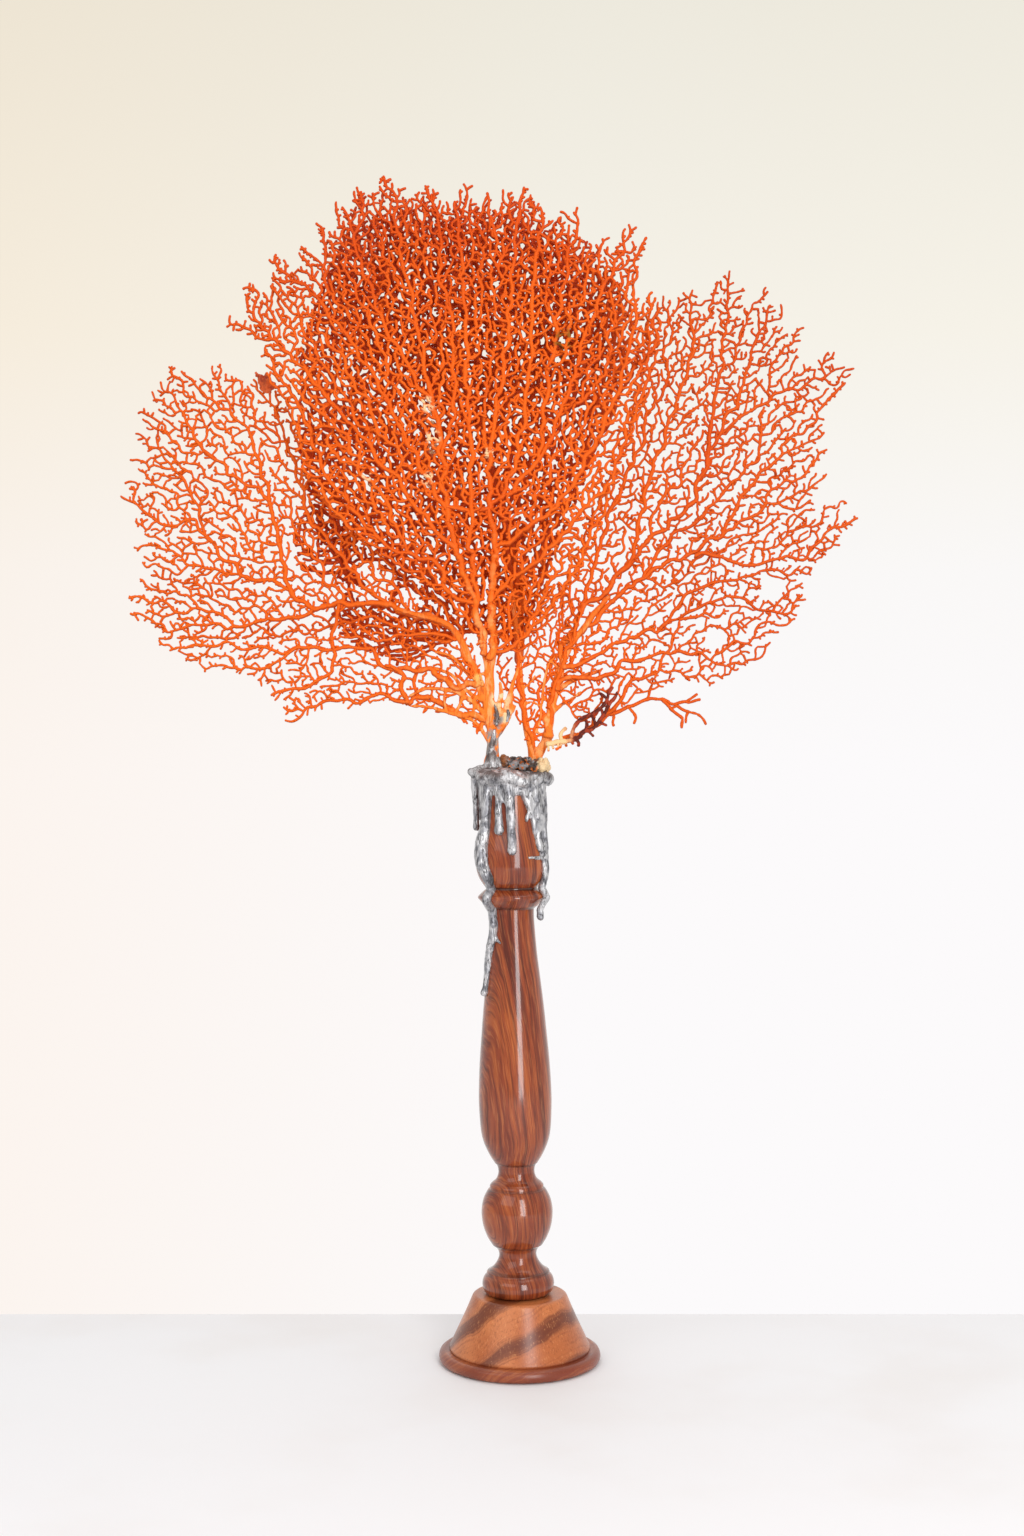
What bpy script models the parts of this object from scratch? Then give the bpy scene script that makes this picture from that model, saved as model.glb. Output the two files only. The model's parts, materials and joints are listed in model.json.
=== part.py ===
"""Dried sea fan set in poured metal on a turned wooden stand.

Units are metres, +Z is up, and the viewer looks along +Y at the face of the fan. The
origin is the centre of the base's underside. The tables below are in millimetres.
"""

import math
from typing import NamedTuple

import bmesh
import bpy
import numpy as np
from mathutils import Matrix, Vector

MM = 0.001
OBJECT_NAME = "sea_fan_on_stand"

# Fit between neighbours that rest on each other
TOUCH_GAP = 0.3

# Turned base
BASE_FOOT_RADIUS = 50.0
BASE_FOOT_HEIGHT = 7.4
BASE_CONE_RADIUS = 43.6
BASE_TOP_RADIUS = 29.2
BASE_HEIGHT = 41.2
BASE_STEPS = 28

# Turned post: it stands slightly off the base's centre and leans to the left
POST_FOOT_X = -0.8
POST_LEAN_DEG = 0.95
POST_TOP = 358.0
POST_STEPS = 20

# Poured metal cap
CAP_BRIM_RADIUS = 24.0
CAP_TOP = 367.5
CAP_STEPS = 20
DRIP_SETTLE = 0.35

# Coral
TWIG_RADIUS = 1.05
PIPE_POWER = 0.31
GROW_STEP = 7.0
GROW_SPACING = 12.0
GROW_KILL = 0.72
OUTWARD_DRIFT = 0.4
CLEAR_OF_OTHERS = 0.8
LONGEST_LINK = 26.0
STRAIGHTEN = 1.8
BLUNT_RADIUS = 2.0
CORAL_FOOT = (0.0, 390.0)
SPREAD_DISTANCE = 170.0
RIPPLE = 2.2


class Lobe(NamedTuple):
    """One main limb's share of the fan, drawn in its own plane as (x, z) points."""

    name: str
    outline: list
    limbs: list
    near: float
    far: float
    thickest: float
    spacing: float
    colour: tuple
    seed: int


ORANGE = (0.86, 0.16, 0.022, 1.0)
DEEP_ORANGE = (0.42, 0.05, 0.010, 1.0)
PALE_ORANGE = (0.90, 0.30, 0.060, 1.0)

LOBES = [
    Lobe(
        name="left_fan_upper",
        outline=[
            (-31, 432), (-42, 446), (-59, 455), (-75, 458), (-93, 467), (-108, 468), (-124, 457),
            (-149, 450), (-173, 452), (-198, 454), (-229, 452), (-243, 463), (-245, 472),
            (-235, 488), (-243, 502), (-234, 507), (-250, 537), (-242, 561), (-240, 582),
            (-228, 598), (-230, 612), (-209, 617), (-182, 615), (-167, 612), (-152, 596),
            (-141, 576), (-135, 551), (-123, 530), (-108, 511), (-84, 489), (-59, 472), (-37, 452),
        ],
        limbs=[
            [(-30, 436), (-42, 452), (-56, 459), (-69, 462), (-83, 469), (-93, 477), (-103, 486),
             (-110, 499), (-116, 507), (-124, 514), (-133, 533), (-144, 561), (-160, 582),
             (-176, 600), (-191, 615)],
            [(-89, 472), (-103, 471), (-118, 468), (-129, 463), (-145, 479), (-172, 483),
             (-191, 489), (-213, 488), (-242, 484)],
            [(-145, 479), (-151, 496), (-153, 521), (-167, 551), (-189, 570), (-211, 595),
             (-228, 613)],
            [(-153, 508), (-180, 527), (-211, 539), (-235, 542), (-249, 537)],
            [(-129, 463), (-165, 456), (-197, 458), (-232, 456)],
        ],
        near=-3, far=4, thickest=2.6, spacing=1.0, colour=ORANGE, seed=11,
    ),
    Lobe(
        name="left_fan_lower",
        outline=[
            (-31, 401), (-36, 417), (-52, 429), (-68, 436), (-83, 440), (-95, 448), (-108, 451),
            (-123, 440), (-149, 437), (-177, 438), (-201, 439), (-220, 437), (-209, 429),
            (-196, 421), (-183, 431), (-173, 421), (-160, 418), (-149, 403), (-144, 392),
            (-128, 397), (-123, 407), (-104, 402), (-84, 407), (-67, 402), (-49, 400), (-33, 395),
        ],
        limbs=[
            [(-29, 417), (-36, 419), (-52, 424), (-66, 428), (-83, 431), (-95, 439), (-111, 438),
             (-134, 436), (-155, 432), (-178, 434), (-198, 430)],
            [(-28, 402), (-36, 404), (-52, 409), (-66, 409), (-72, 416), (-85, 411), (-97, 408),
             (-111, 409), (-123, 408), (-136, 401), (-144, 393)],
            [(-66, 428), (-66, 409)],
            [(-111, 438), (-114, 430), (-121, 422), (-134, 417), (-155, 411)],
        ],
        near=-3, far=-5, thickest=2.4, spacing=0.85, colour=ORANGE, seed=12,
    ),
    Lobe(
        name="front_fan_left",
        outline=[
            (-31, 445), (-41, 464), (-61, 479), (-82, 494), (-104, 515), (-119, 537), (-131, 561),
            (-137, 582), (-151, 599), (-158, 622), (-178, 636), (-176, 650), (-158, 676),
            (-147, 684), (-126, 691), (-123, 703), (-115, 711), (-109, 722), (-92, 730), (-70, 729),
            (-53, 724), (-31, 722), (-29, 695), (-30, 653), (-31, 592), (-32, 543), (-29, 494),
        ],
        limbs=[
            [(-24.5, 442), (-27, 464), (-31, 479), (-39, 499), (-45, 526), (-48, 555), (-55, 592),
             (-64, 634), (-73, 677), (-80, 727)],
            [(-45, 526), (-61, 555), (-82, 592), (-104, 628), (-128, 659), (-153, 676)],
            [(-39, 499), (-61, 518), (-82, 537), (-104, 561), (-122, 589), (-144, 613),
             (-173, 637)],
            [(-55, 592), (-79, 628), (-95, 665), (-107, 712)],
            [(-48, 555), (-40, 592), (-39, 634), (-41, 677), (-43, 722)],
        ],
        near=-4, far=-20, thickest=3.2, spacing=1.0, colour=ORANGE, seed=13,
    ),
    Lobe(
        name="front_fan_right",
        outline=[
            (-20, 450), (-24, 494), (-26, 543), (-25, 592), (-24, 653), (-22, 695), (-25, 719),
            (-6, 720), (4, 725), (15, 711), (39, 703), (45, 689), (60, 695), (66, 701), (76, 694),
            (73, 676), (80, 653), (73, 622), (62, 579), (49, 537), (34, 500), (15, 469), (-3, 450),
        ],
        limbs=[
            [(-16.8, 438.5), (-17, 460), (-17, 479), (-16, 502), (-17, 526), (-11, 533), (-2, 541),
             (12, 555), (25, 582), (37, 616), (49, 653), (66, 698)],
            [(-16, 502), (0, 506), (18, 518), (37, 543), (52, 573), (64, 610), (72, 647)],
            [(-17, 526), (-17, 555), (-12, 592), (-6, 634), (-3, 677), (3, 724)],
            [(12, 555), (15, 592), (25, 634), (31, 671), (36, 700)],
        ],
        near=-4, far=-20, thickest=3.0, spacing=1.0, colour=ORANGE, seed=14,
    ),
    Lobe(
        name="back_fan",
        outline=[
            (3, 445), (-9, 460), (-31, 479), (-57, 495), (-88, 507), (-116, 533), (-135, 570),
            (-144, 608), (-135, 649), (-123, 687), (-107, 715), (-79, 722), (-50, 725), (-12, 720),
            (25, 707), (54, 688), (76, 671), (94, 662), (96, 633), (85, 592), (70, 555), (54, 517),
            (38, 485), (19, 457),
        ],
        limbs=[
            [(-0.8, 436.5), (-2, 460), (-3, 482), (-7, 510), (-12, 542), (-25, 580), (-38, 624),
             (-50, 668), (-57, 718)],
            [(-2, 473), (10, 498), (25, 529), (44, 567), (63, 605), (82, 643)],
            [(-7, 510), (-31, 529), (-57, 548), (-82, 580), (-107, 618), (-123, 662)],
            [(-12, 542), (0, 580), (16, 624), (32, 662), (44, 690)],
            [(-31, 529), (-63, 517), (-94, 523), (-116, 542)],
            [(-25, 580), (-12, 630), (-9, 674), (-9, 715)],
        ],
        near=5, far=22, thickest=2.8, spacing=1.25, colour=DEEP_ORANGE, seed=15,
    ),
    Lobe(
        name="right_fan_upper",
        outline=[
            (27, 425), (26, 446), (38, 474), (52, 505), (70, 543), (85, 583), (95, 621), (92, 658),
            (106, 671), (108, 660), (130, 678), (145, 665), (161, 662), (177, 642), (178, 629),
            (191, 629), (206, 625), (208, 611), (193, 593), (194, 581), (188, 573), (192, 555),
            (189, 541), (174, 530), (156, 521), (134, 512), (112, 496), (90, 481), (69, 465),
            (49, 448), (36, 432),
        ],
        limbs=[
            [(24.5, 424.5), (29, 440), (39, 464), (50, 474), (67, 492), (82, 509), (100, 525),
             (109, 534), (116, 555), (131, 577), (149, 596), (174, 608), (206, 619)],
            [(29, 440), (44, 456), (61, 472), (77, 484), (93, 494), (107, 502), (125, 514),
             (143, 525), (164, 535), (187, 546)],
            [(67, 492), (75, 521), (84, 552), (100, 589), (109, 627), (106, 668)],
            [(116, 555), (121, 596), (128, 633), (131, 677)],
            [(125, 514), (143, 546), (168, 565), (190, 577)],
            [(131, 577), (146, 614), (159, 657)],
        ],
        near=2, far=4, thickest=2.8, spacing=1.0, colour=ORANGE, seed=16,
    ),
    Lobe(
        name="right_fan_lower",
        outline=[
            (31, 403), (35, 417), (50, 434), (71, 452), (93, 468), (116, 483), (138, 496),
            (159, 508), (177, 523), (203, 533), (213, 523), (205, 507), (189, 495), (181, 484),
            (179, 464), (161, 449), (153, 435), (134, 425), (118, 417), (100, 421), (81, 420),
            (65, 413), (53, 402), (41, 396),
        ],
        limbs=[
            [(27.5, 404.5), (35, 413), (44, 423), (57, 426), (69, 421), (86, 431), (100, 437),
             (121, 429), (134, 431), (155, 440)],
            [(44, 423), (54, 437), (76, 450), (89, 454), (112, 468), (137, 471), (159, 464),
             (178, 464)],
            [(89, 454), (112, 477), (137, 488), (158, 493), (179, 499), (190, 512), (211, 524)],
            [(86, 431), (96, 444), (100, 456), (115, 464)],
        ],
        near=2, far=-2, thickest=2.4, spacing=0.9, colour=ORANGE, seed=17,
    ),
]


class Stem(NamedTuple):
    """A short thick run of bare coral: a list of (x, z) limbs and their radii."""

    name: str
    limbs: list
    near: float
    foot_radius: float
    tip_radius: float
    colour: tuple


STEMS = [
    Stem(
        name="left_stem",
        limbs=[
            [(-17, 376.8), (-18, 384), (-20, 401), (-21.5, 415), (-22.5, 426), (-24.3, 440)],
            [(-20, 401), (-14, 406), (-15.5, 419), (-16.6, 436)],
            [(-21.5, 415), (-15.5, 419)],
            [(-14, 406), (-8, 410), (-7, 420)],
            [(-18, 384), (-26, 391), (-30, 397)],
        ],
        near=-3, foot_radius=4.6, tip_radius=3.0, colour=PALE_ORANGE,
    ),
    Stem(
        name="right_stem",
        limbs=[
            [(9.5, 376.8), (9.5, 380), (5, 385), (2, 402), (0, 416), (-0.8, 434)],
            [(9.5, 380), (17.5, 386), (18.5, 399), (21, 411), (24, 422)],
            [(5, 385), (10.5, 393.5), (17.8, 391.5)],
        ],
        near=3.5, foot_radius=4.2, tip_radius=2.4, colour=ORANGE,
    ),
    Stem(
        name="folded_strip",
        limbs=[
            [(25, 380), (33, 384), (39, 390), (45, 396), (50, 405)],
            [(39, 390), (43, 387)],
            [(45, 396), (49.5, 394)],
        ],
        near=-5, foot_radius=1.9, tip_radius=1.3, colour=DEEP_ORANGE,
    ),
    Stem(
        name="lower_sprig",
        limbs=[
            [(31, 387), (45, 393), (58, 401), (68, 404), (79, 410), (88, 410), (95, 407),
             (104, 408), (112, 408)],
            [(68, 404), (71, 397)],
            [(79, 410), (84, 414)],
            [(88, 410), (93, 403), (100, 397)],
            [(95, 407), (104, 401), (111, 397)],
        ],
        near=4, foot_radius=1.7, tip_radius=0.9, colour=ORANGE,
    ),
]

# Post profile from the foot up: height above the surface, radius
POST_PROFILE = [
    (41.9, 18.2), (43.6, 21.0), (47.7, 22.3), (51.8, 21.2), (54.6, 18.8), (55.6, 18.2),
    (58.5, 15.0), (62.0, 12.6), (65.7, 11.5), (69.0, 12.3), (71.5, 14.9), (77.0, 18.2),
    (84.0, 20.9), (92.3, 22.0), (99.5, 20.8), (104.5, 18.6), (106.6, 16.6), (109.0, 16.1),
    (111.5, 13.2), (116.5, 11.2), (122.0, 12.4), (127.7, 16.4), (135.1, 19.8), (142.6, 21.6),
    (153.7, 22.3), (165.0, 22.6), (183.5, 21.7), (202.0, 20.2), (220.7, 18.6), (239.3, 16.4),
    (254.0, 14.9), (272.8, 13.6), (280.0, 13.7), (282.0, 16.1), (287.0, 21.1), (292.0, 16.1),
    (295.0, 17.4), (299.5, 20.1), (306.0, 22.0), (311.5, 21.9), (329.0, 18.9), (345.0, 18.0),
    (POST_TOP, 17.4),
]

# Metal runs: degrees around the post from the front (+ to the right), height, radius, lift
DRIPS = [
    [(-62, 361, 3.4, 0), (-56, 345, 3.1, 0), (-54, 329, 3.4, 0), (-58, 314, 4.2, 0),
     (-50, 304, 3.4, 0), (-46, 296, 2.8, 0), (-48, 287, 3.2, 0), (-46, 278, 2.8, 0),
     (-43, 262, 2.9, 0), (-54, 248, 2.2, 0), (-58, 236, 1.9, 0), (-58, 227, 2.4, 0)],
    [(-30, 360, 3.0, 0), (-27, 350, 2.3, 0), (-24, 338, 2.1, 0), (-23, 326, 2.8, 0)],
    [(-4, 361, 3.6, 0), (-2, 348, 3.0, 0), (1, 332, 2.2, 0), (3, 317, 2.8, 0)],
    [(26, 361, 3.8, 0), (30, 346, 3.6, 0), (42, 333, 3.0, 0), (52, 320, 2.6, 0)],
    [(48, 361, 4.2, 0), (55, 346, 4.0, 0), (64, 330, 3.7, 0), (68, 316, 3.4, 0),
     (66, 302, 3.0, 0), (66, 292, 2.8, 5), (68, 286, 2.7, 1), (66, 274, 2.9, 6)],
    [(78, 361, 4.0, 0), (76, 348, 3.4, 0), (72, 334, 2.8, 0)],
    [(-92, 361, 2.6, 4), (-90, 350, 2.0, 4), (-86, 339, 1.8, 3), (-84, 329, 2.4, 3)],
    [(112, 360, 3.6, 0), (115, 343, 2.6, 0), (118, 327, 2.9, 0)],
    [(150, 361, 4.0, 0), (148, 340, 3.0, 0), (152, 318, 2.8, 0), (150, 302, 3.1, 0)],
    [(190, 360, 3.4, 0), (193, 346, 2.5, 0), (191, 335, 3.0, 0)],
    [(228, 361, 3.8, 0), (232, 341, 3.0, 0), (236, 322, 2.4, 0), (234, 310, 2.9, 0)],
]

# Shell crust that sits among the left lobe's twigs
KNOB_CENTRE = (-157.5, -1.0, 606.0)
KNOB_SIZE = (12.5, 6.0, 12.0)


def clear_scene():
    """Remove what the default file holds."""
    for item in list(bpy.data.objects):
        bpy.data.objects.remove(item, do_unlink=True)


def make_collection(name):
    """A collection linked to the scene."""
    collection = bpy.data.collections.new(name)
    bpy.context.scene.collection.children.link(collection)
    return collection


def make_material(name, colour, roughness, metallic=0.0):
    """A plain Principled material."""
    material = bpy.data.materials.new(name)
    material.use_nodes = True
    shader = material.node_tree.nodes["Principled BSDF"]
    shader.inputs["Base Color"].default_value = colour
    shader.inputs["Roughness"].default_value = roughness
    shader.inputs["Metallic"].default_value = metallic
    material.diffuse_color = colour
    return material


def add_object(name, mesh, collection, material=None):
    """Link a mesh as a named object with its material."""
    item = bpy.data.objects.new(name, mesh)
    collection.objects.link(item)
    if material:
        mesh.materials.append(material)
    return item


def add_turned(name, profile, steps, collection, material=None):
    """Turn a profile of (height, radius) pairs, listed upwards, about the Z axis."""
    points = [(0.0, profile[-1][0])]
    points += [(radius, height) for height, radius in reversed(profile)]
    points.append((0.0, profile[0][0]))
    mesh = bpy.data.meshes.new(name)
    links = [(i, i + 1) for i in range(len(points) - 1)]
    mesh.from_pydata([(x * MM, 0.0, z * MM) for x, z in points], links, [])
    item = add_object(name, mesh, collection, material)
    screw = item.modifiers.new("Turn", "SCREW")
    screw.axis = "Z"
    screw.steps = steps
    screw.render_steps = steps
    screw.use_merge_vertices = True
    screw.merge_threshold = 0.00001
    screw.use_smooth_shade = True
    return item


def post_matrix():
    """The lean of the post about its foot."""
    foot = Vector((POST_FOOT_X * MM, 0.0, BASE_HEIGHT * MM))
    lean = Matrix.Rotation(-math.radians(POST_LEAN_DEG), 4, "Y")
    return Matrix.Translation(foot) @ lean @ Matrix.Translation((0.0, 0.0, -BASE_HEIGHT * MM))


def post_radius(height):
    """The post's radius at a height, read from its profile."""
    heights = [h for h, _ in POST_PROFILE]
    radii = [r for _, r in POST_PROFILE]
    return float(np.interp(height, heights, radii))


def base_profile():
    """Foot disc with a rounded edge, a small step, then the cone."""
    edge = BASE_FOOT_HEIGHT / 2
    profile = []
    for turn in (-90, -45, 0, 45, 90):
        angle = math.radians(turn)
        radius = BASE_FOOT_RADIUS - edge + edge * math.cos(angle)
        profile.append((edge + edge * math.sin(angle), radius))
    profile += [
        (BASE_FOOT_HEIGHT + 0.1, BASE_CONE_RADIUS - 0.8),
        (BASE_FOOT_HEIGHT + 1.8, BASE_CONE_RADIUS),
        (BASE_FOOT_HEIGHT + 4.0, BASE_CONE_RADIUS - 1.4),
        (BASE_HEIGHT - 16.0, BASE_TOP_RADIUS + 6.4),
        (BASE_HEIGHT - 2.0, BASE_TOP_RADIUS + 0.5),
        (BASE_HEIGHT - 0.5, BASE_TOP_RADIUS - 0.4),
        (BASE_HEIGHT, BASE_TOP_RADIUS - 1.8),
    ]
    return profile


def build_base(parts):
    """Lighter two-tone wooden foot."""
    wood = make_material("base_wood", (0.50, 0.19, 0.075, 1.0), 0.32)
    return add_turned("base", base_profile(), BASE_STEPS, parts, wood)


def build_post(parts):
    """Dark turned spindle, leaning a little."""
    wood = make_material("post_wood", (0.20, 0.045, 0.016, 1.0), 0.25)
    post = add_turned("post", POST_PROFILE, POST_STEPS, parts, wood)
    post.matrix_world = post_matrix()
    return post


def curve_to_mesh(name, points, collection):
    """A tube through (position, radius) pairs, as a closed mesh object."""
    curve = bpy.data.curves.new(name, "CURVE")
    curve.dimensions = "3D"
    curve.bevel_depth = MM
    curve.bevel_resolution = 1
    curve.use_fill_caps = True
    spline = curve.splines.new("POLY")
    spline.points.add(len(points) - 1)
    for point, (position, radius) in zip(spline.points, points):
        point.co = (*position, 1.0)
        point.radius = radius
    tube = bpy.data.objects.new(name + "_route", curve)
    collection.objects.link(tube)
    evaluated = tube.evaluated_get(bpy.context.evaluated_depsgraph_get())
    mesh = bpy.data.meshes.new_from_object(evaluated)
    weld = bmesh.new()
    weld.from_mesh(mesh)
    bmesh.ops.remove_doubles(weld, verts=weld.verts, dist=0.00001)
    weld.to_mesh(mesh)
    weld.free()
    item = add_object(name, mesh, collection)
    item.matrix_world = tube.matrix_world
    bpy.data.objects.remove(tube, do_unlink=True)
    return item


def rounded_end(points):
    """Taper the last point of a run into a blunt drop."""
    (before, _), (end, radius) = points[-2:]
    heading = (end - before).normalized()
    tip = end + heading * radius * 0.8 * MM
    return points + [(tip, radius * 0.45)]


def drip_points(drip):
    """A run of metal that clings to the leaning post, or hangs off it by its lift."""
    points = []
    for degrees, height, radius, lift in drip:
        angle = math.radians(degrees)
        reach = post_radius(height) + radius * DRIP_SETTLE + lift
        local = Vector((reach * math.sin(angle), -reach * math.cos(angle), height)) * MM
        points.append((post_matrix() @ local, radius))
    return rounded_end(points)


def cap_profile():
    """Outside of the poured metal, from its lower lip up over the brim."""
    return [
        (349.0, 19.4), (354.0, 20.6), (357.5, CAP_BRIM_RADIUS - 1.4), (360.5, CAP_BRIM_RADIUS),
        (363.2, CAP_BRIM_RADIUS - 1.0), (365.2, CAP_BRIM_RADIUS - 5.0),
        (366.6, CAP_BRIM_RADIUS - 12.0), (CAP_TOP, CAP_BRIM_RADIUS - 19.0),
    ]


def ruffle(item, wave):
    """Push a turned mesh in and out with an uneven wave around its axis."""
    evaluated = item.evaluated_get(bpy.context.evaluated_depsgraph_get())
    mesh = bpy.data.meshes.new_from_object(evaluated)
    for vertex in mesh.vertices:
        angle = math.atan2(vertex.co.y, vertex.co.x)
        swell = 1.0 + wave * (math.sin(3 * angle + 0.6) + 0.7 * math.sin(5 * angle + 2.1))
        vertex.co.x *= swell
        vertex.co.y *= swell
    item.modifiers.clear()
    item.data = mesh


def add_boolean(item, tool, operation):
    """Join or cut with another mesh object."""
    modifier = item.modifiers.new(operation.title() + " " + tool.name, "BOOLEAN")
    modifier.object = tool
    modifier.operation = operation
    modifier.solver = "EXACT"


def build_cap(parts, cutters):
    """Poured metal over the post's top, with its runs, held off the wood by a fine gap."""
    metal = make_material("poured_metal", (0.46, 0.46, 0.45, 1.0), 0.38, 0.85)
    cap = add_turned("drip_cap", cap_profile(), CAP_STEPS, parts, metal)
    ruffle(cap, 0.028)
    cap.matrix_world = post_matrix()
    for number, drip in enumerate(DRIPS):
        tool = curve_to_mesh(f"run_{number:02d}", drip_points(drip), cutters)
        add_boolean(cap, tool, "UNION")
    clearance = [(height, radius + TOUCH_GAP) for height, radius in POST_PROFILE]
    clearance[-1] = (POST_TOP + TOUCH_GAP, clearance[-1][1])
    hollow = add_turned("post_clearance", clearance, POST_STEPS, cutters)
    hollow.matrix_world = post_matrix()
    add_boolean(cap, hollow, "DIFFERENCE")
    return cap


def build_lump(name, centre, size, seed, collection, material):
    """A rough lump: an icosphere pushed in and out by a seeded amount."""
    mesh = bpy.data.meshes.new(name)
    shape = bmesh.new()
    bmesh.ops.create_icosphere(shape, subdivisions=2, radius=1.0)
    chance = np.random.default_rng(seed)
    for vertex in shape.verts:
        swell = 1.0 + chance.uniform(-0.08, 0.08)
        vertex.co = Vector([c * s * swell for c, s in zip(vertex.co, size)]) * MM
    shape.to_mesh(mesh)
    shape.free()
    item = add_object(name, mesh, collection, material)
    item.location = Vector(centre) * MM
    return item


def inside(points, outline):
    """Which of the points lie inside a closed outline."""
    found = np.zeros(len(points), bool)
    for (x0, z0), (x1, z1) in zip(outline, outline[1:] + outline[:1]):
        if z0 == z1:
            continue
        crosses = (z0 > points[:, 1]) != (z1 > points[:, 1])
        at = (x1 - x0) * (points[:, 1] - z0) / (z1 - z0) + x0
        found ^= crosses & (points[:, 0] < at)
    return found


def scatter(chance, outline, spacing):
    """Loose points, evenly spread, inside an outline."""
    corners = np.array(outline, float)
    low, high = corners.min(0), corners.max(0)
    across, up = np.meshgrid(
        np.arange(low[0], high[0], spacing), np.arange(low[1], high[1], spacing)
    )
    points = np.stack([across.ravel(), up.ravel()], 1)
    points += chance.uniform(-0.4, 0.4, points.shape) * spacing
    return points[inside(points, outline)]


class Net:
    """Points in the fan's plane, each with the point that it grew from."""

    def __init__(self):
        self.points = []
        self.parents = []

    def nearest(self, point):
        """Index of the nearest point so far."""
        gaps = np.linalg.norm(np.array(self.points) - point, axis=1)
        return int(gaps.argmin())

    def add_limb(self, limb):
        """Add a limb, joined to the point it starts at, if there is one."""
        limb = [np.array(point, float) for point in limb]
        last = -1
        if self.points:
            last = self.nearest(limb[0])
            limb = limb[1:]
        for point in limb:
            self.points.append(point)
            self.parents.append(last)
            last = len(self.points) - 1

    def sprout(self, index, pulls, foot):
        """Try one step from a point towards the side where most targets pull it."""
        start = self.points[index]
        outward = (start - foot) / np.linalg.norm(start - foot)
        along = outward
        if self.parents[index] >= 0:
            along = start - self.points[self.parents[index]]
        side = along[0] * pulls[:, 1] - along[1] * pulls[:, 0] > 0
        chosen = np.full(len(pulls), True)
        if index in self.parents:
            chosen = side if side.sum() * 2 > len(side) else ~side
        heading = (pulls[chosen] / np.linalg.norm(pulls[chosen], axis=1)[:, None]).sum(0)
        heading = heading / np.linalg.norm(heading) + OUTWARD_DRIFT * outward
        tip = start + heading / np.linalg.norm(heading) * GROW_STEP
        gaps = np.linalg.norm(np.array(self.points) - tip, axis=1)
        room = gaps.min() > CLEAR_OF_OTHERS * GROW_STEP and self.parents.count(index) < 3
        if room:
            self.points.append(tip)
            self.parents.append(index)
        return room, chosen

    def grow(self, lobe):
        """Send twigs from the limbs towards ground that is still empty."""
        chance = np.random.default_rng(lobe.seed)
        spacing = GROW_SPACING * lobe.spacing
        targets = scatter(chance, lobe.outline, spacing)
        foot = np.array(CORAL_FOOT)
        grown = True
        while grown and len(targets):
            gaps = np.linalg.norm(targets[:, None] - np.array(self.points)[None], axis=2)
            waiting = gaps.min(1) > GROW_KILL * spacing
            targets, nearest = targets[waiting], gaps.argmin(1)[waiting]
            dropped = np.full(len(targets), False)
            grown = False
            for index in np.unique(nearest):
                owned = np.flatnonzero(nearest == index)
                room, chosen = self.sprout(int(index), targets[owned] - self.points[index], foot)
                grown = grown or room
                if not room:
                    dropped[owned[chosen]] = True
            targets = targets[~dropped]

    def straighten(self):
        """Drop points that a nearly straight twig doesn't need."""
        count = [self.parents.count(i) for i in range(len(self.points))]
        for index in range(len(self.points) - 1, -1, -1):
            parent = self.parents[index]
            if parent < 0 or count[index] != 1:
                continue
            child = self.parents.index(index)
            ends = self.points[parent], self.points[child]
            span = ends[1] - ends[0]
            side = self.points[index] - ends[0]
            offset = abs(span[0] * side[1] - span[1] * side[0]) / np.linalg.norm(span)
            if offset < STRAIGHTEN and np.linalg.norm(span) < LONGEST_LINK:
                self.parents[child] = parent
                self.parents[index] = -2
        kept = [i for i, parent in enumerate(self.parents) if parent != -2]
        place = {old: new for new, old in enumerate(kept)}
        place[-1] = -1
        self.points = [self.points[i] for i in kept]
        self.parents = [place[self.parents[i]] for i in kept]

    def links(self):
        """Pairs of joined points."""
        return [(i, parent) for i, parent in enumerate(self.parents) if parent >= 0]

    def loads(self):
        """How many twig ends each point carries."""
        load = [0] * len(self.points)
        for index in sorted(range(len(load)), key=self.steps_from_root, reverse=True):
            load[index] = max(load[index], 1)
            if self.parents[index] >= 0:
                load[self.parents[index]] += load[index]
        return load

    def steps_from_root(self, index):
        """Number of links between a point and the root."""
        steps = 0
        while self.parents[index] >= 0:
            index = self.parents[index]
            steps += 1
        return steps


def fan_depth(lobe, x, z):
    """Depth of a lobe's sheet: it leaves the stems and spreads to its own layer."""
    away = math.hypot(x - CORAL_FOOT[0], z - CORAL_FOOT[1]) / SPREAD_DISTANCE
    away = min(away, 1.0)
    ease = away * away * (3.0 - 2.0 * away)
    ripple = RIPPLE * ease * math.sin(x / 38.0 + lobe.seed) * math.cos(z / 47.0)
    return lobe.near + (lobe.far - lobe.near) * ease + ripple


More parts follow.
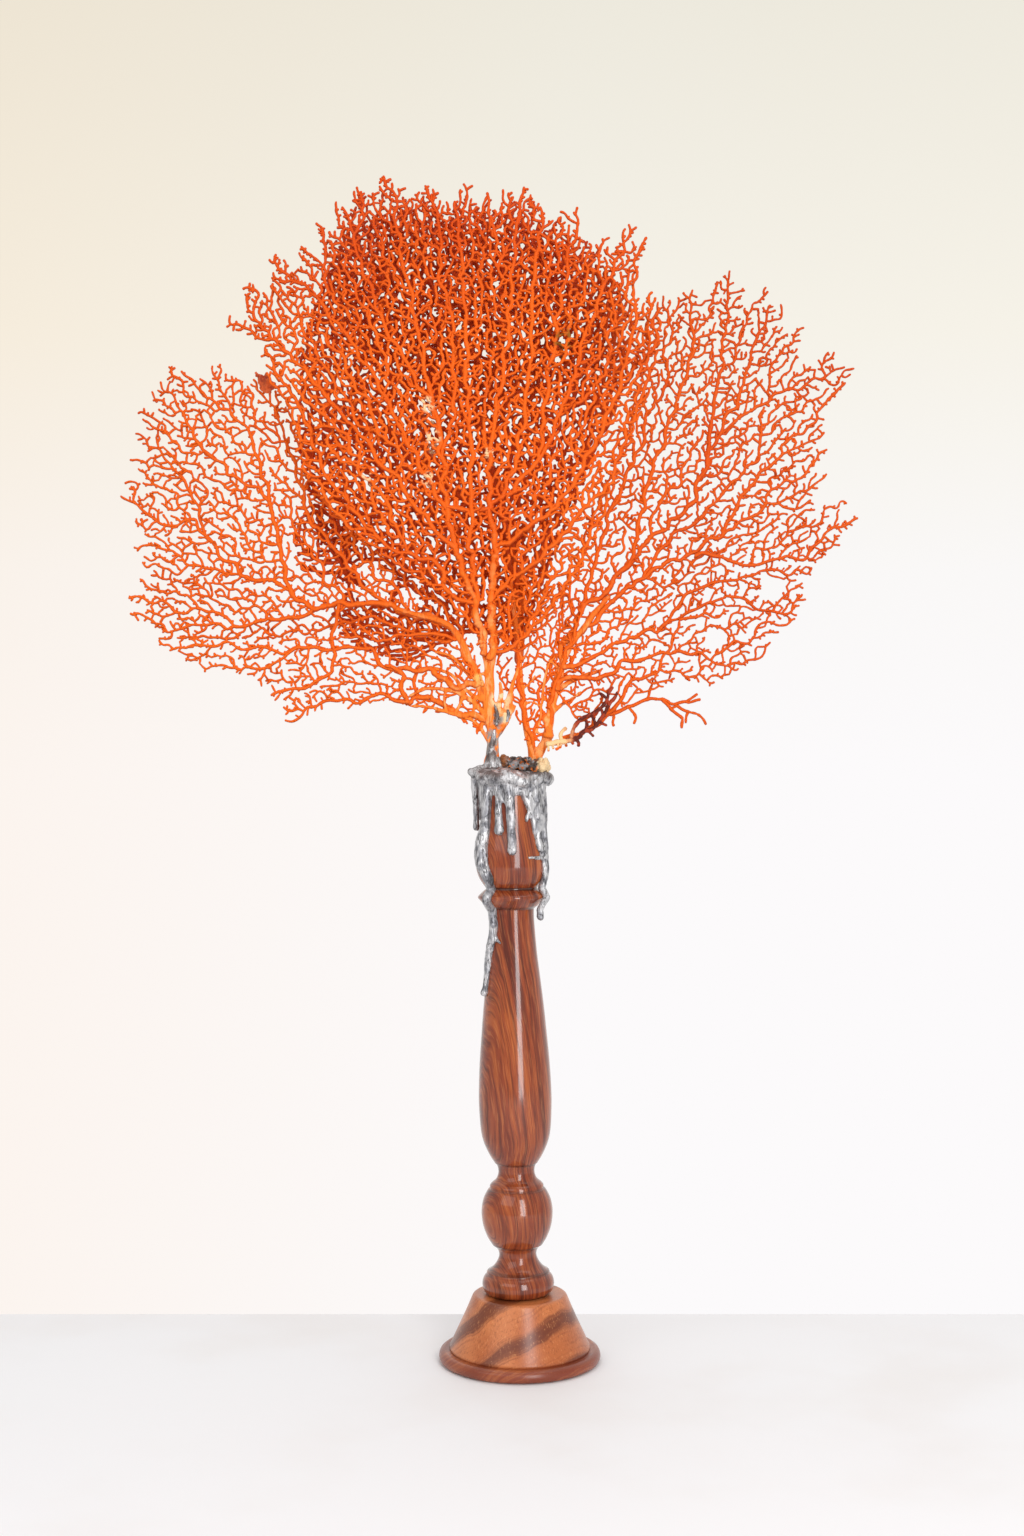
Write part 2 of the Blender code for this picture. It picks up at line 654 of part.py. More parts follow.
def net_mesh(name, points, radii, links):
    """Skin a flat branching net: a ridge in front and behind, and a corner in each fork."""
    around = {i: [] for i in range(len(points))}
    for a, b in links:
        around[a].append(b)
        around[b].append(a)
    shape = bmesh.new()
    front, back, corners = {}, {}, {i: [] for i in around}
    for index, (x, y, z) in enumerate(points):
        radius = radii[index]
        front[index] = shape.verts.new(Vector((x, y - radius, z)) * MM)
        back[index] = shape.verts.new(Vector((x, y + radius, z)) * MM)

        def bearing(other):
            return math.atan2(points[other][2] - z, points[other][0] - x)

        ring = sorted(around[index], key=bearing)
        around[index] = ring
        for place, other in enumerate(ring):
            turn = bearing(ring[(place + 1) % len(ring)]) - bearing(other)
            turn = turn % math.tau
            if len(ring) == 1:
                turn = math.tau
            reach = radius
            if len(ring) > 1:
                reach = min(radius / max(math.sin(turn / 2), 0.05), 2.2 * radius)
            aims = [bearing(other) + turn / 2]
            if len(ring) == 1 and radius > BLUNT_RADIUS:
                aims = [bearing(other) + math.pi / 2, bearing(other) - math.pi / 2]
            for aim in aims:
                corner = Vector((x + reach * math.cos(aim), y, z + reach * math.sin(aim)))
                corners[index].append(shape.verts.new(corner * MM))
        if len(ring) == 1 and radius > BLUNT_RADIUS:
            left, right = corners[index]
            shape.faces.new((front[index], right, back[index], left))
    for a, b in links:
        for start, end in ((a, b), (b, a)):
            left_start = corners[start][around[start].index(end)]
            left_end = corners[end][around[end].index(start) - 1]
            shape.faces.new((front[start], front[end], left_end, left_start))
            shape.faces.new((back[end], back[start], left_start, left_end))
    bmesh.ops.recalc_face_normals(shape, faces=shape.faces)
    mesh = bpy.data.meshes.new(name)
    shape.to_mesh(mesh)
    shape.free()
    mesh.shade_smooth()
    return mesh


def build_lobe(lobe, parts):
    """One lobe of the fan: limbs by hand, then twigs out to the outline."""
    net = Net()
    for limb in lobe.limbs:
        net.add_limb(limb)
    net.grow(lobe)
    net.straighten()
    points = [(x, fan_depth(lobe, x, z), z) for x, z in net.points]
    radii = [min(TWIG_RADIUS * load ** PIPE_POWER, lobe.thickest) for load in net.loads()]
    material = make_material(lobe.name + "_coral", lobe.colour, 0.6)
    mesh = net_mesh(lobe.name, points, radii, net.links())
    return add_object(lobe.name, mesh, parts, material)


def build_stem(stem, parts):
    """A bare stem, thick at its foot and thinner where the lobes leave it."""
    net = Net()
    joins = []
    for limb in stem.limbs:
        net.add_limb(limb)
        end = np.array(limb[-1], float)
        gaps = np.linalg.norm(np.array(net.points[:-1]) - end, axis=1)
        if gaps.min() < 0.5:
            joins.append((len(net.points) - 1, int(gaps.argmin())))
    links = net.links()
    for extra, host in joins:
        links = [(host if a == extra else a, host if b == extra else b) for a, b in links]
    furthest = max(net.steps_from_root(i) for i in range(len(net.points)))
    taper = stem.tip_radius - stem.foot_radius
    radii = []
    for index in range(len(net.points)):
        radii.append(stem.foot_radius + taper * net.steps_from_root(index) / furthest)
    used = sorted({i for link in links for i in link})
    place = {old: new for new, old in enumerate(used)}
    points = [(net.points[i][0], stem.near, net.points[i][1]) for i in used]
    links = [(place[a], place[b]) for a, b in links]
    material = make_material(stem.name + "_coral", stem.colour, 0.6)
    mesh = net_mesh(stem.name, points, [radii[i] for i in used], links)
    return add_object(stem.name, mesh, parts, material)


def main():
    """Build every piece."""
    clear_scene()
    parts = make_collection(OBJECT_NAME)
    cutters = make_collection("cutters")
    build_base(parts)
    build_post(parts)
    build_cap(parts, cutters)
    crust = make_material("crust", (0.30, 0.24, 0.19, 1.0), 0.7)
    build_lump("holdfast_crust", (-1.0, 0.0, 371.9), (18.5, 10.5, 3.9), 5, parts, crust)
    shell = make_material("shell_knob", (0.45, 0.08, 0.02, 1.0), 0.6)
    build_lump("shell_knob", KNOB_CENTRE, [s / 2 for s in KNOB_SIZE], 6, parts, shell)
    for stem in STEMS:
        build_stem(stem, parts)
    for lobe in LOBES:
        build_lobe(lobe, parts)
    for item in cutters.objects:
        item.hide_render = True
        item.display_type = "WIRE"


main()
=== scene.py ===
"""Dried sea fan set in poured metal on a turned wooden stand.

The tables are in millimetres: x to the right, z up from the underside of the base. The
face of the fan looks along -Y. Every piece lies where its solid in the frame lies.
"""

import json
import math
from typing import NamedTuple

import bmesh
import bpy
import numpy as np
from bpy.props import FloatProperty, FloatVectorProperty, IntProperty, PointerProperty
from mathutils import Matrix, Vector, noise

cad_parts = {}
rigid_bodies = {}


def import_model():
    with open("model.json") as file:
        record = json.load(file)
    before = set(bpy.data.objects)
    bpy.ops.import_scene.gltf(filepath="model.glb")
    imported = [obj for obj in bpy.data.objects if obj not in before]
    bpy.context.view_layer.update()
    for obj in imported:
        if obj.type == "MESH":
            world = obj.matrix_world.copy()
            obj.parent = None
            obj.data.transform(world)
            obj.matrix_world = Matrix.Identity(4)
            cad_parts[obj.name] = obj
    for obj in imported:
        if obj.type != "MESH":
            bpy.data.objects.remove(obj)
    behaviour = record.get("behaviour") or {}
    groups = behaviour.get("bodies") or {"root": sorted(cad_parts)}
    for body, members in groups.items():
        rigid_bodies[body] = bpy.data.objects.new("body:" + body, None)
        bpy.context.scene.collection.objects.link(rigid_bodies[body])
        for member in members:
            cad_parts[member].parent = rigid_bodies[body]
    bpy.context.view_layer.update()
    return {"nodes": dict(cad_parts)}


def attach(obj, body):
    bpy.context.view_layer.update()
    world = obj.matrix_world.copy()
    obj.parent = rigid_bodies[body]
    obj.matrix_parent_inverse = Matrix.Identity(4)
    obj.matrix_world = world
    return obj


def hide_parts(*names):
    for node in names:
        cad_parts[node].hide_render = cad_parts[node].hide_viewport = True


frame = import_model()

bl_info = {
    "name": "Sea fan on a turned stand",
    "version": (1, 0, 0),
    "blender": (4, 5, 0),
    "location": "3D View > Sidebar > Sea fan",
    "description": "Builds a dried sea fan in poured metal on a turned wooden stand",
    "category": "Object",
}

MM = 0.001
BODY = "root"

# The stand, as in the frame
POST_FOOT_X = -0.8
POST_LEAN_DEG = 0.95
BASE_HEIGHT = 41.2

# Where every limb of the fan starts, and how far out its sheets have spread
CORAL_FOOT = (0.0, 390.0)
SPREAD_DISTANCE = 170.0
RIPPLE = 2.2
RIPPLE_X = 38.0
RIPPLE_Z = 47.0


def rows(width, *numbers):
    """Numbers as points of so many numbers each."""
    return [numbers[start:start + width] for start in range(0, len(numbers), width)]


def flush(*numbers):
    """A metal run that isn't lifted off the post, from three numbers a point."""
    return [(*point, 0) for point in rows(3, *numbers)]


class Limb(NamedTuple):
    """A main branch: the radius it starts with, and its (x, z) points."""

    radius: float
    points: list


def arm(radius, *numbers):
    """A limb from its start radius and the x and z of each point."""
    return Limb(radius, rows(2, *numbers))


class Lobe(NamedTuple):
    """One main limb's share of the fan, in its own sheet."""

    name: str
    outline: list
    limbs: list
    near: float
    far: float
    twig: float
    spacing: float
    seed: int
    gaps: tuple = ()


LOBES = [
    Lobe(
        "left_fan_upper", near=-3, far=4, twig=0.78, spacing=0.94, seed=11,
        outline=rows(2, -22, 426, -37, 437, -52, 443, -68, 446, -84, 454, -99, 457, -112, 452,
            -124, 449, -149, 446, -174, 446, -199, 446, -221, 446, -232, 451, -238, 460,
            -244, 463, -246, 471, -244, 479, -238, 486, -235, 492, -239, 499, -243, 504,
            -235, 508, -241, 523, -244, 530, -250, 538, -245, 550, -242, 560, -240, 583,
            -236, 589, -230, 598, -228, 605, -231, 612, -215, 617, -208, 617, -192, 618,
            -182, 615, -171, 616, -163, 613, -154, 605, -143, 590, -134, 568, -127, 549,
            -116, 532, -102, 515, -84, 498, -67, 485, -49, 472, -34, 452, -25, 437),
        limbs=[
            arm(2.3, -27, 423, -31, 433, -36, 445, -43, 453, -56, 459, -69, 462, -83, 469,
                -93, 477, -104, 487, -110, 499, -119, 508, -125, 515, -132, 526, -137, 540,
                -142, 562, -149, 580, -156, 596),
            arm(1.9, -80, 468, -92, 468, -104, 469, -112, 470, -117, 467, -127, 467, -136, 471,
                -143, 477, -148, 499, -150, 510, -155, 532, -160, 552, -168, 571, -177, 586,
                -185, 602, -191, 614),
            arm(1.3, -143, 477, -155, 482, -173, 485, -188, 491, -201, 493, -213, 501, -224, 505,
                -235, 505),
            arm(1.2, -173, 485, -183, 496, -193, 507, -204, 520, -218, 520, -233, 524,
                -246, 535),
            arm(1.3, -127, 467, -133, 462, -143, 461, -159, 459, -168, 455, -186, 454, -202, 455,
                -219, 451),
            arm(1.1, -155, 532, -168, 543, -183, 552, -199, 571, -211, 589, -223, 606),
            arm(1, -193, 507, -205, 540, -220, 558, -236, 575),
        ],
    ),
    Lobe(
        "left_fan_lower", near=-3, far=-5, twig=0.72, spacing=0.95, seed=12,
        outline=rows(2, -22, 426, -37, 437, -52, 443, -68, 446, -83, 453, -99, 457, -111, 452,
            -123, 448, -148, 446, -172, 445, -197, 446, -219, 445, -230, 450, -222, 443,
            -214, 435, -210, 431, -201, 436, -195, 422, -190, 428, -182, 434, -174, 423,
            -163, 422, -155, 414, -148, 402, -145, 394, -141, 393, -133, 399, -128, 398,
            -122, 409, -104, 403, -84, 407, -68, 404, -52, 401, -40, 398, -28, 391, -22, 386),
        limbs=[
            arm(2.3, -22, 419, -36, 417, -52, 424, -65, 428, -83, 430, -93, 440, -105, 442,
                -115, 439, -134, 441, -146, 438, -163, 441, -177, 442, -199, 441, -217, 440),
            arm(2.4, -21, 396, -34, 400, -45, 404, -53, 409, -64, 411, -70, 405, -78, 409,
                -85, 413, -97, 409, -109, 409, -120, 407, -131, 404, -142, 395),
            arm(1.6, -70, 405, -72, 415, -75, 424, -82, 430),
            arm(1.3, -115, 439, -114, 454, -111, 467),
            arm(1.2, -115, 439, -113, 433, -120, 422, -134, 417, -154, 412),
            arm(1, -134, 441, -148, 432, -166, 428, -182, 431),
            arm(1.2, -39, 446, -52, 450, -68, 450, -79, 446),
            arm(1.2, -64, 411, -64, 421, -65, 428),
        ],
    ),
    Lobe(
        "front_fan_left", near=-4, far=-20, twig=0.88, spacing=0.82, seed=13,
        outline=rows(2, -22, 439, -31, 452, -42, 466, -58, 479, -73, 488, -91, 501, -107, 514,
            -121, 530, -132, 548, -139, 573, -144, 591, -151, 598, -157, 608, -157, 625,
            -174, 634, -179, 637, -176, 649, -171, 657, -157, 675, -149, 682, -133, 687,
            -126, 691, -126, 701, -119, 703, -116, 706, -114, 713, -109, 721, -102, 721, -98, 727,
            -91, 729, -79, 731, -73, 730, -68, 728, -62, 723, -53, 723, -49, 723, -39, 723,
            -30, 722, -20, 719, -19, 695, -22, 652, -23, 591, -24, 542, -21, 494, -20, 445),
        limbs=[
            arm(2.3, -23, 436, -25, 450, -27, 465, -31, 479, -39, 499, -43, 513, -45, 525,
                -47, 554, -53, 591, -62, 633, -72, 676, -78, 720),
            arm(1.7, -45, 525, -61, 551, -80, 588, -102, 624, -127, 657, -151, 675),
            arm(1.6, -27, 465, -28, 479, -29, 494, -32, 506, -29, 530, -30, 566, -32, 615,
                -35, 664, -39, 713),
            arm(1.6, -29, 468, -42, 474, -51, 490, -67, 498, -82, 503, -100, 521, -119, 548,
                -131, 576, -141, 600),
            arm(1.7, -39, 499, -55, 518, -76, 543, -100, 572, -123, 600, -143, 622, -171, 637),
            arm(1.4, -53, 591, -78, 627, -94, 664, -107, 707),
            arm(1.3, -47, 554, -40, 591, -43, 633, -49, 683, -54, 718),
        ],
    ),
    Lobe(
        "front_fan_right", near=-4, far=-20, twig=0.88, spacing=0.82, seed=14,
        outline=rows(2, -20, 439, -21, 494, -24, 542, -23, 591, -22, 652, -19, 694, -21, 719,
            -11, 720, -6, 718, 4, 725, 6, 718, 9, 710, 18, 710, 27, 707, 34, 704, 39, 702,
            45, 696, 45, 688, 44, 680, 49, 691, 54, 688, 60, 695, 66, 701, 74, 697, 78, 689,
            78, 682, 73, 677, 74, 673, 73, 667, 70, 659, 78, 660, 85, 652, 87, 633, 82, 609,
            73, 579, 62, 548, 52, 518, 40, 491, 25, 470, 6, 445, -9, 436),
        limbs=[
            arm(2.4, -19, 433, -17, 445, -17, 460, -17, 479, -16, 502, -17, 525, -11, 533,
                -2, 541, 12, 555, 25, 582, 35, 616, 48, 652, 64, 690),
            arm(1.7, -17, 525, -30, 525, -43, 525),
            arm(1.6, -16, 502, 0, 509, 17, 523, 35, 545, 51, 576, 64, 612, 73, 652),
            arm(1.9, -17, 525, -18, 555, -13, 591, -7, 634, -4, 676, 3, 721),
            arm(1.4, 12, 555, 15, 591, 22, 634, 28, 670, 35, 699),
            arm(1.4, -16, 470, -6, 482, 9, 493, 26, 509, 43, 527),
            arm(1.4, -11, 533, 0, 567, 6, 610, 9, 652, 12, 705),
        ],
    ),
    Lobe(
        "back_fan", near=5, far=22, twig=0.98, spacing=0.82, seed=15,
        gaps=[(-92, 482, 13), (-70, 470, 8)],
        outline=rows(2, -12, 447, -24, 438, -50, 435, -74, 432, -96, 440, -113, 450, -117, 465,
            -110, 480, -117, 498, -127, 517, -133, 536, -140, 567, -140, 599, -135, 643,
            -123, 681, -107, 711, -79, 719, -50, 722, -12, 717, 23, 705, 49, 686, 66, 668,
            76, 655, 71, 630, 58, 592, 44, 555, 31, 520, 18, 492, 8, 463, 0, 444),
        limbs=[
            arm(2.2, 0, 432, 0, 447, 0, 459, -2, 478, -7, 510, -12, 542, -25, 581, -38, 625,
                -50, 669, -57, 719),
            arm(1.6, -2, 472, 11, 497, 27, 529, 46, 567, 65, 605, 84, 649),
            arm(1.6, -7, 510, -31, 533, -60, 555, -85, 583, -110, 621, -125, 662),
            arm(1.4, -12, 542, 0, 580, 16, 624, 33, 662, 48, 694),
            arm(1.2, -31, 533, -63, 520, -94, 525, -120, 542),
            arm(1.3, -25, 581, -12, 631, -9, 675, -7, 717),
        ],
    ),
    Lobe(
        "right_fan_upper", near=2, far=4, twig=0.78, spacing=0.94, seed=16,
        outline=rows(2, 18, 406, 19, 437, 24, 471, 36, 504, 50, 541, 65, 583, 75, 620, 79, 652,
            92, 667, 106, 672, 104, 658, 118, 667, 128, 678, 132, 678, 136, 670, 145, 665,
            153, 666, 161, 662, 166, 652, 173, 649, 177, 642, 176, 631, 184, 623, 191, 629,
            199, 625, 206, 626, 209, 616, 204, 606, 203, 598, 194, 595, 191, 591, 195, 583,
            186, 577, 193, 565, 191, 555, 193, 549, 191, 543, 186, 532, 174, 527, 156, 516,
            134, 505, 112, 490, 90, 475, 70, 460, 49, 441, 31, 421, 22, 406),
        limbs=[
            arm(2.8, 17, 385, 19, 409, 23, 424, 26, 438, 29, 446, 39, 464, 52, 476, 67, 492,
                82, 509, 93, 520, 100, 525, 109, 534, 116, 555, 122, 568, 134, 583, 153, 596,
                175, 605, 203, 616),
            arm(1.5, 67, 492, 75, 521, 82, 552, 95, 589, 106, 627, 107, 663),
            arm(1.5, 116, 555, 120, 583, 126, 627, 131, 673),
            arm(1.9, 29, 444, 44, 458, 61, 474, 77, 485, 93, 494, 107, 499, 116, 507, 125, 512,
                143, 524, 153, 529, 164, 534, 184, 543),
            arm(1.2, 125, 512, 142, 540, 167, 562, 189, 576),
            arm(1.2, 122, 568, 140, 611, 157, 654),
            arm(1.3, 39, 464, 45, 487, 53, 515, 65, 546, 78, 577),
            arm(1.2, 77, 485, 92, 509, 112, 521, 134, 546),
        ],
    ),
    Lobe(
        "right_fan_lower", near=2, far=-2, twig=0.71, spacing=0.98, seed=17,
        gaps=[(119, 446, 6), (156, 477, 7)],
        outline=rows(2, 185, 531, 173, 526, 155, 515, 133, 505, 111, 489, 90, 474, 70, 460,
            49, 441, 31, 421, 22, 406, 20, 387, 28, 392, 41, 393, 55, 398, 65, 404, 75, 411,
            86, 416, 99, 420, 112, 419, 121, 417, 133, 425, 145, 430, 153, 436, 160, 449,
            165, 453, 177, 463, 180, 475, 180, 489, 188, 495, 191, 500, 204, 506, 206, 514,
            212, 523, 202, 533),
        limbs=[
            arm(1.8, 23, 415, 31, 422, 44, 423, 57, 426, 75, 434, 99, 439, 121, 432, 136, 429,
                150, 437),
            arm(1.6, 26, 429, 39, 432, 54, 440, 61, 447, 76, 450, 88, 454, 105, 463, 127, 471,
                145, 467, 164, 461),
            arm(1.3, 108, 498, 121, 498, 136, 492, 157, 496, 178, 499, 188, 511, 193, 514,
                207, 521),
            arm(1.2, 88, 454, 108, 477, 133, 484, 158, 488, 178, 486),
            arm(1.3, 52, 399, 62, 408, 69, 419, 76, 423, 86, 429, 95, 444, 100, 456, 114, 466),
        ],
    ),
    Lobe(
        "heart", near=4, far=4, twig=0.7, spacing=0.9, seed=18,
        gaps=[(-8, 451, 6), (-6, 404, 4)],
        outline=rows(2, 0, 385, -3, 398, -8, 412, -15, 424, -16, 440, -16, 455, -16, 474,
            -10, 486, 25, 480, 39, 464, 34, 446, 26, 437, 23, 421, 19, 406, 16, 387, 8, 383),
        limbs=[
            arm(1.6, 8, 378, 5, 388, 3, 398, 2, 406, 1, 415, 0, 426, -1, 437, -2, 446, -3, 456,
                -4, 468),
            arm(1.6, 16, 383, 18, 393, 19, 403, 21, 411, 24, 420, 26, 429, 29, 437, 33, 445),
            arm(1.2, 6, 382, 9, 388, 12, 395, 13, 405, 14, 414, 16, 424, 18, 431, 23, 436),
        ],
    ),
    # The crown and the fold reach deep enough to take the coral with painted shade.
    Lobe(
        "crown", near=5, far=9, twig=0.8, spacing=1, seed=19,
        outline=rows(2, -108, 630, -120, 660, -120, 690, -110, 714, -102, 724, -94, 729,
            -79, 731, -62, 724, -49, 724, -30, 723, -10, 721, 4, 726, 18, 713, 34, 706, 47, 692,
            62, 672, 66, 650, 58, 625, 20, 600, -30, 590, -80, 605),
        limbs=[
            arm(1.6, -2, 478, -10, 520, -22, 570, -38, 620, -55, 670, -70, 722),
            arm(1.3, -22, 570, 0, 610, 18, 650, 30, 700),
            arm(1.3, -38, 620, -70, 650, -95, 685, -108, 712),
            arm(1.2, -38, 620, -30, 670, -22, 716),
        ],
    ),
    Lobe(
        "fold", near=-3, far=9, twig=0.85, spacing=1, seed=20,
        outline=rows(2, -108, 488, -118, 484, -130, 488, -139, 497, -142, 510, -137, 524,
            -124, 529, -112, 522, -106, 505),
        limbs=[
            arm(2, -97, 480, -105, 487, -111, 496, -118, 505, -124, 515, -130, 524),
            arm(1.3, -111, 496, -122, 496, -133, 502, -139, 512),
        ],
    ),
]

# Stains and worn places of the coral: x, z, reach, colour
CREAM = (240, 206, 156)
GREY = (150, 146, 142)
WORN_PLACES = [
    (-12, 409, 8, CREAM), (-9, 399, 6, CREAM), (-16, 388, 7, GREY), (-17, 378, 8, GREY),
    (-14, 397, 5, GREY), (9, 370, 5, CREAM), (-56, 588, 6, CREAM), (-53, 568, 6, CREAM),
    (-56, 543, 5, CREAM), (-93, 544, 4, CREAM), (-19, 559, 4, CREAM), (27, 628, 8, (126, 86, 28)),
    (-110, 722, 7, (232, 170, 60)), (-25, 421, 5, (236, 178, 96)),
]

# How the net grows; lengths in millimetres
TARGET_REACH = 1.85
FRONT_SPEED = 0.5
SIGHT = 6.0
OUTWARD = 0.5
INERTIA = 0.8
JITTER = 0.26
CLEARANCE = 0.62
PATIENCE = 12
THINNED = 0.15
STUB_CHANCE = 0.2
STUB_ROOM = 1.3
JOIN_CHANCE = 0.6
JOIN_REACH = 3.6
LIMB_WANDER = 2.9
WANDER_WINDOW = 11
LIMB_END = 0.72
LIMB_TAPER = 56.0
LIMB_JOIN = 5.5
FORK_SWELL = 0.14
BACKWARD = -0.7
DUE_SPREAD = 2.5
STUB_TURN = (0.8, 1.35)
STUB_STEPS = (1, 4)
STUB_LOOK = 0.4
STUB_BEND = 0.2
JOIN_AHEAD = 0.35
JOIN_LEAST = 0.4
JOIN_KIN = 6

# How thick the twigs are, and how far they wander out of their sheet
TWIG_GAIN = 0.03
GIRTH_SPREAD = 0.10
RIM_SLIM = 0.06
RIM_FROM = 210.0
RIM_WIDTH = 120.0
SLOPE_SPREAD = 0.16
RISE_FADE = 40.0
RISE_MOST = 2.2
THICK_FROM = 1.3
FORK_SHARE = 0.9
FORK_MOST = 1.35
SPRAY_TWIG = 0.6

# Faces round a twig and round a limb: fewer in the sheets that lie behind
FRONT_SIDES = (5, 8)
BACK_SIDES = (4, 6)
# Sheets that lie deeper than BEHIND also take the coral with painted shade.
BEHIND = 8.0

# Spikes along the free rim: depth as a share of the reach, and how many to a radian
NOTCH = 0.045
NOTCH_RATE = 118.0
NOTCH_SWAY = 19.0
RIM_SHARE = 1.05


class Trunk(NamedTuple):
    """Thick bare coral: tubes of (x, z, radius), fused into one piece."""

    name: str
    node: str
    near: float
    tubes: list


TRUNKS = [
    Trunk("left_trunk", "left_stem", -3, [
        rows(3, -17.2, 364.2, 5.9, -17.2, 369.8, 5.3, -16.9, 375.4, 4.2, -16.6, 380.9, 3.7,
            -16.9, 387.1, 3.3, -17.8, 393.9, 3.1, -19.6, 402.6, 2.4, -23.4, 412.5, 2.4,
            -27.1, 423, 2.4, -31.4, 433.5, 2.5, -35.7, 444.6, 2.3, -42.5, 453.9, 2,
            -49.9, 457.9, 2, -58.6, 460.3, 1.9, -66.6, 462.2, 1.7, -75.3, 465, 1.6),
        rows(3, -19.6, 402.6, 2, -20.3, 412.5, 2, -19.6, 422.4, 2, -20.6, 431.6, 2,
            -22.7, 440.9, 2, -25.2, 450.2, 2, -27.1, 463.2, 2, -30.2, 476.8, 1.8,
            -34.5, 487.9, 1.6, -38.8, 497.8, 1.4),
        rows(3, -17.8, 393.9, 2.1, -17.2, 405.7, 2, -17.5, 414.9, 2, -17.8, 425.4, 2,
            -16.6, 436.6, 2.1, -16.2, 445.9, 2.1, -16.9, 457, 2.1, -16.9, 470.6, 2,
            -16.9, 483, 1.8, -16.2, 495.3, 1.7, -16.2, 506.5, 1.4),
        rows(3, -27.7, 423, 1.2, -23.4, 424.8, 1.1, -18.4, 426.1, 1.2),
        rows(3, -22.1, 430.4, 1.1, -18.4, 433.5, 1.2, -15.9, 438.4, 1.2),
        rows(3, -15.3, 385.3, 2.1, -12.2, 390.8, 2.6, -9.1, 397, 3.2, -7.3, 403.8, 2.8,
            -6, 410.6, 2.1, -4.8, 416.8, 1.5, -2.9, 423, 1.2, -1.1, 428.5, 1.1),
        rows(3, -12.2, 390.2, 1.9, -12.8, 398.9, 1.9, -12.8, 406.3, 1.9, -11.6, 412.5, 1.6,
            -12.2, 419.3, 1.2),
        rows(3, -5.4, 401.3, 1.6, -2.9, 405, 1.1),
        rows(3, -9.7, 407.5, 1.1, -6, 409.4, 1.1),
        rows(3, -19, 391.4, 1.9, -22.1, 399.5, 1.7, -28.3, 406.9, 1.6, -35.1, 411.2, 1.5,
            -40, 413.9, 1.5, -49.6, 415.6, 1.3, -59.2, 415.6, 1.3, -67.9, 411.2, 1.2),
        rows(3, -17.2, 377.8, 1.6, -21.2, 386.5, 1.3, -27.1, 394.5, 1.3, -33.2, 397.6, 1.2,
            -41.5, 400.1, 1.2, -49.6, 402.6, 1.2, -58, 404.7, 1.1, -67.3, 405, 1),
        rows(3, -23.4, 408.1, 1.5, -30.8, 413.1, 1.3, -37, 418, 1.3, -41.5, 423.6, 1.3,
            -48.1, 427, 1.3, -55.5, 428.5, 1.2),
        rows(3, -26.4, 420.5, 1.6, -33.2, 426.1, 1.4, -38.2, 432.3, 1.2, -44.4, 436.6, 1.2,
            -51.8, 438.4, 1.1),
        rows(3, -28.3, 406.9, 1.3, -28.9, 401.9, 1.1, -30.8, 397, 1.2),
        rows(3, -35.1, 410.6, 1.2, -37, 405.7, 1.1, -40, 400.7, 1.2),
        rows(3, -22.1, 399.5, 1.2, -23.4, 395.1, 1.1, -24, 391.4, 1.2),
        rows(3, -37, 417.4, 1.2, -34.5, 413.1, 1.1),
        rows(3, -45.6, 414.9, 1.1, -46.9, 408.8, 1, -45, 401.9, 1.1),
    ]),
    Trunk("right_trunk", "right_stem", 3.5, [
        rows(3, 9.5, 365.5, 5.9, 9.5, 369.8, 5.3, 9.5, 373.5, 4.3),
        rows(3, 8.3, 373.5, 2.9, 7, 381, 2.3, 4.8, 388.5, 2.4, 3.3, 397.8, 2.1, 2.4, 405.9, 2,
            1.1, 415.2, 1.9, 0.2, 426.4, 1.8, -0.8, 437, 1.8, -1.7, 446.3, 1.8, -2.6, 455.6, 1.7,
            -3.6, 466.2, 1.6, -4.5, 477.4, 1.5),
        rows(3, 10.7, 372.9, 3.2, 13.9, 379.8, 2.9, 17, 385.4, 3.1, 18.2, 393.4, 2.7,
            19.5, 402.8, 2.5, 21.6, 410.9, 2.4, 24.1, 419.6, 2.3, 26.3, 428.9, 2.2,
            28.8, 437, 2.1, 33.1, 445.1, 2.1, 40, 453.8, 2, 46.8, 463.3, 1.8, 54.9, 473, 1.6),
        rows(3, 5.1, 381, 1.3, 8.9, 387.8, 1.1, 12.3, 395.3, 1, 13.5, 404.6, 1, 14.5, 414, 1,
            16, 423.9, 1, 18.2, 431.4, 0.9, 22.6, 436.3, 0.9),
        rows(3, 4.5, 387.8, 1, 8.9, 389.1, 0.9, 13.2, 387.8, 1, 17.6, 385.4, 1),
        rows(3, 17, 382.9, 1.7, 21.9, 381.6, 1.2, 28.8, 382.9, 1.1, 35.6, 384.7, 1),
        rows(3, 22.6, 413.3, 1.9, 30, 419.6, 1.6, 36.9, 422.7, 1.4, 43.7, 425.2, 1.4,
            50.5, 427.3, 1.2),
        rows(3, 18.8, 399, 1.6, 25, 405.3, 1.2, 31.3, 409, 1.1, 38.1, 414, 0.9),
        rows(3, 0.2, 415.2, 1.1, 5.8, 418.9, 0.9, 9.5, 423.9, 0.9),
        rows(3, 20.1, 405.3, 1.2, 15.7, 410.2, 1, 14.5, 415.2, 0.9),
        rows(3, 1.4, 405.3, 1.1, 7, 407.7, 0.9, 12.6, 405.3, 0.9),
        rows(3, -0.4, 431.4, 1.1, 3.9, 437, 0.9, 6.4, 444.4, 0.8),
        rows(3, 25.7, 427, 1.2, 21.3, 431.4, 1, 18.2, 433.9, 0.9),
    ]),
]

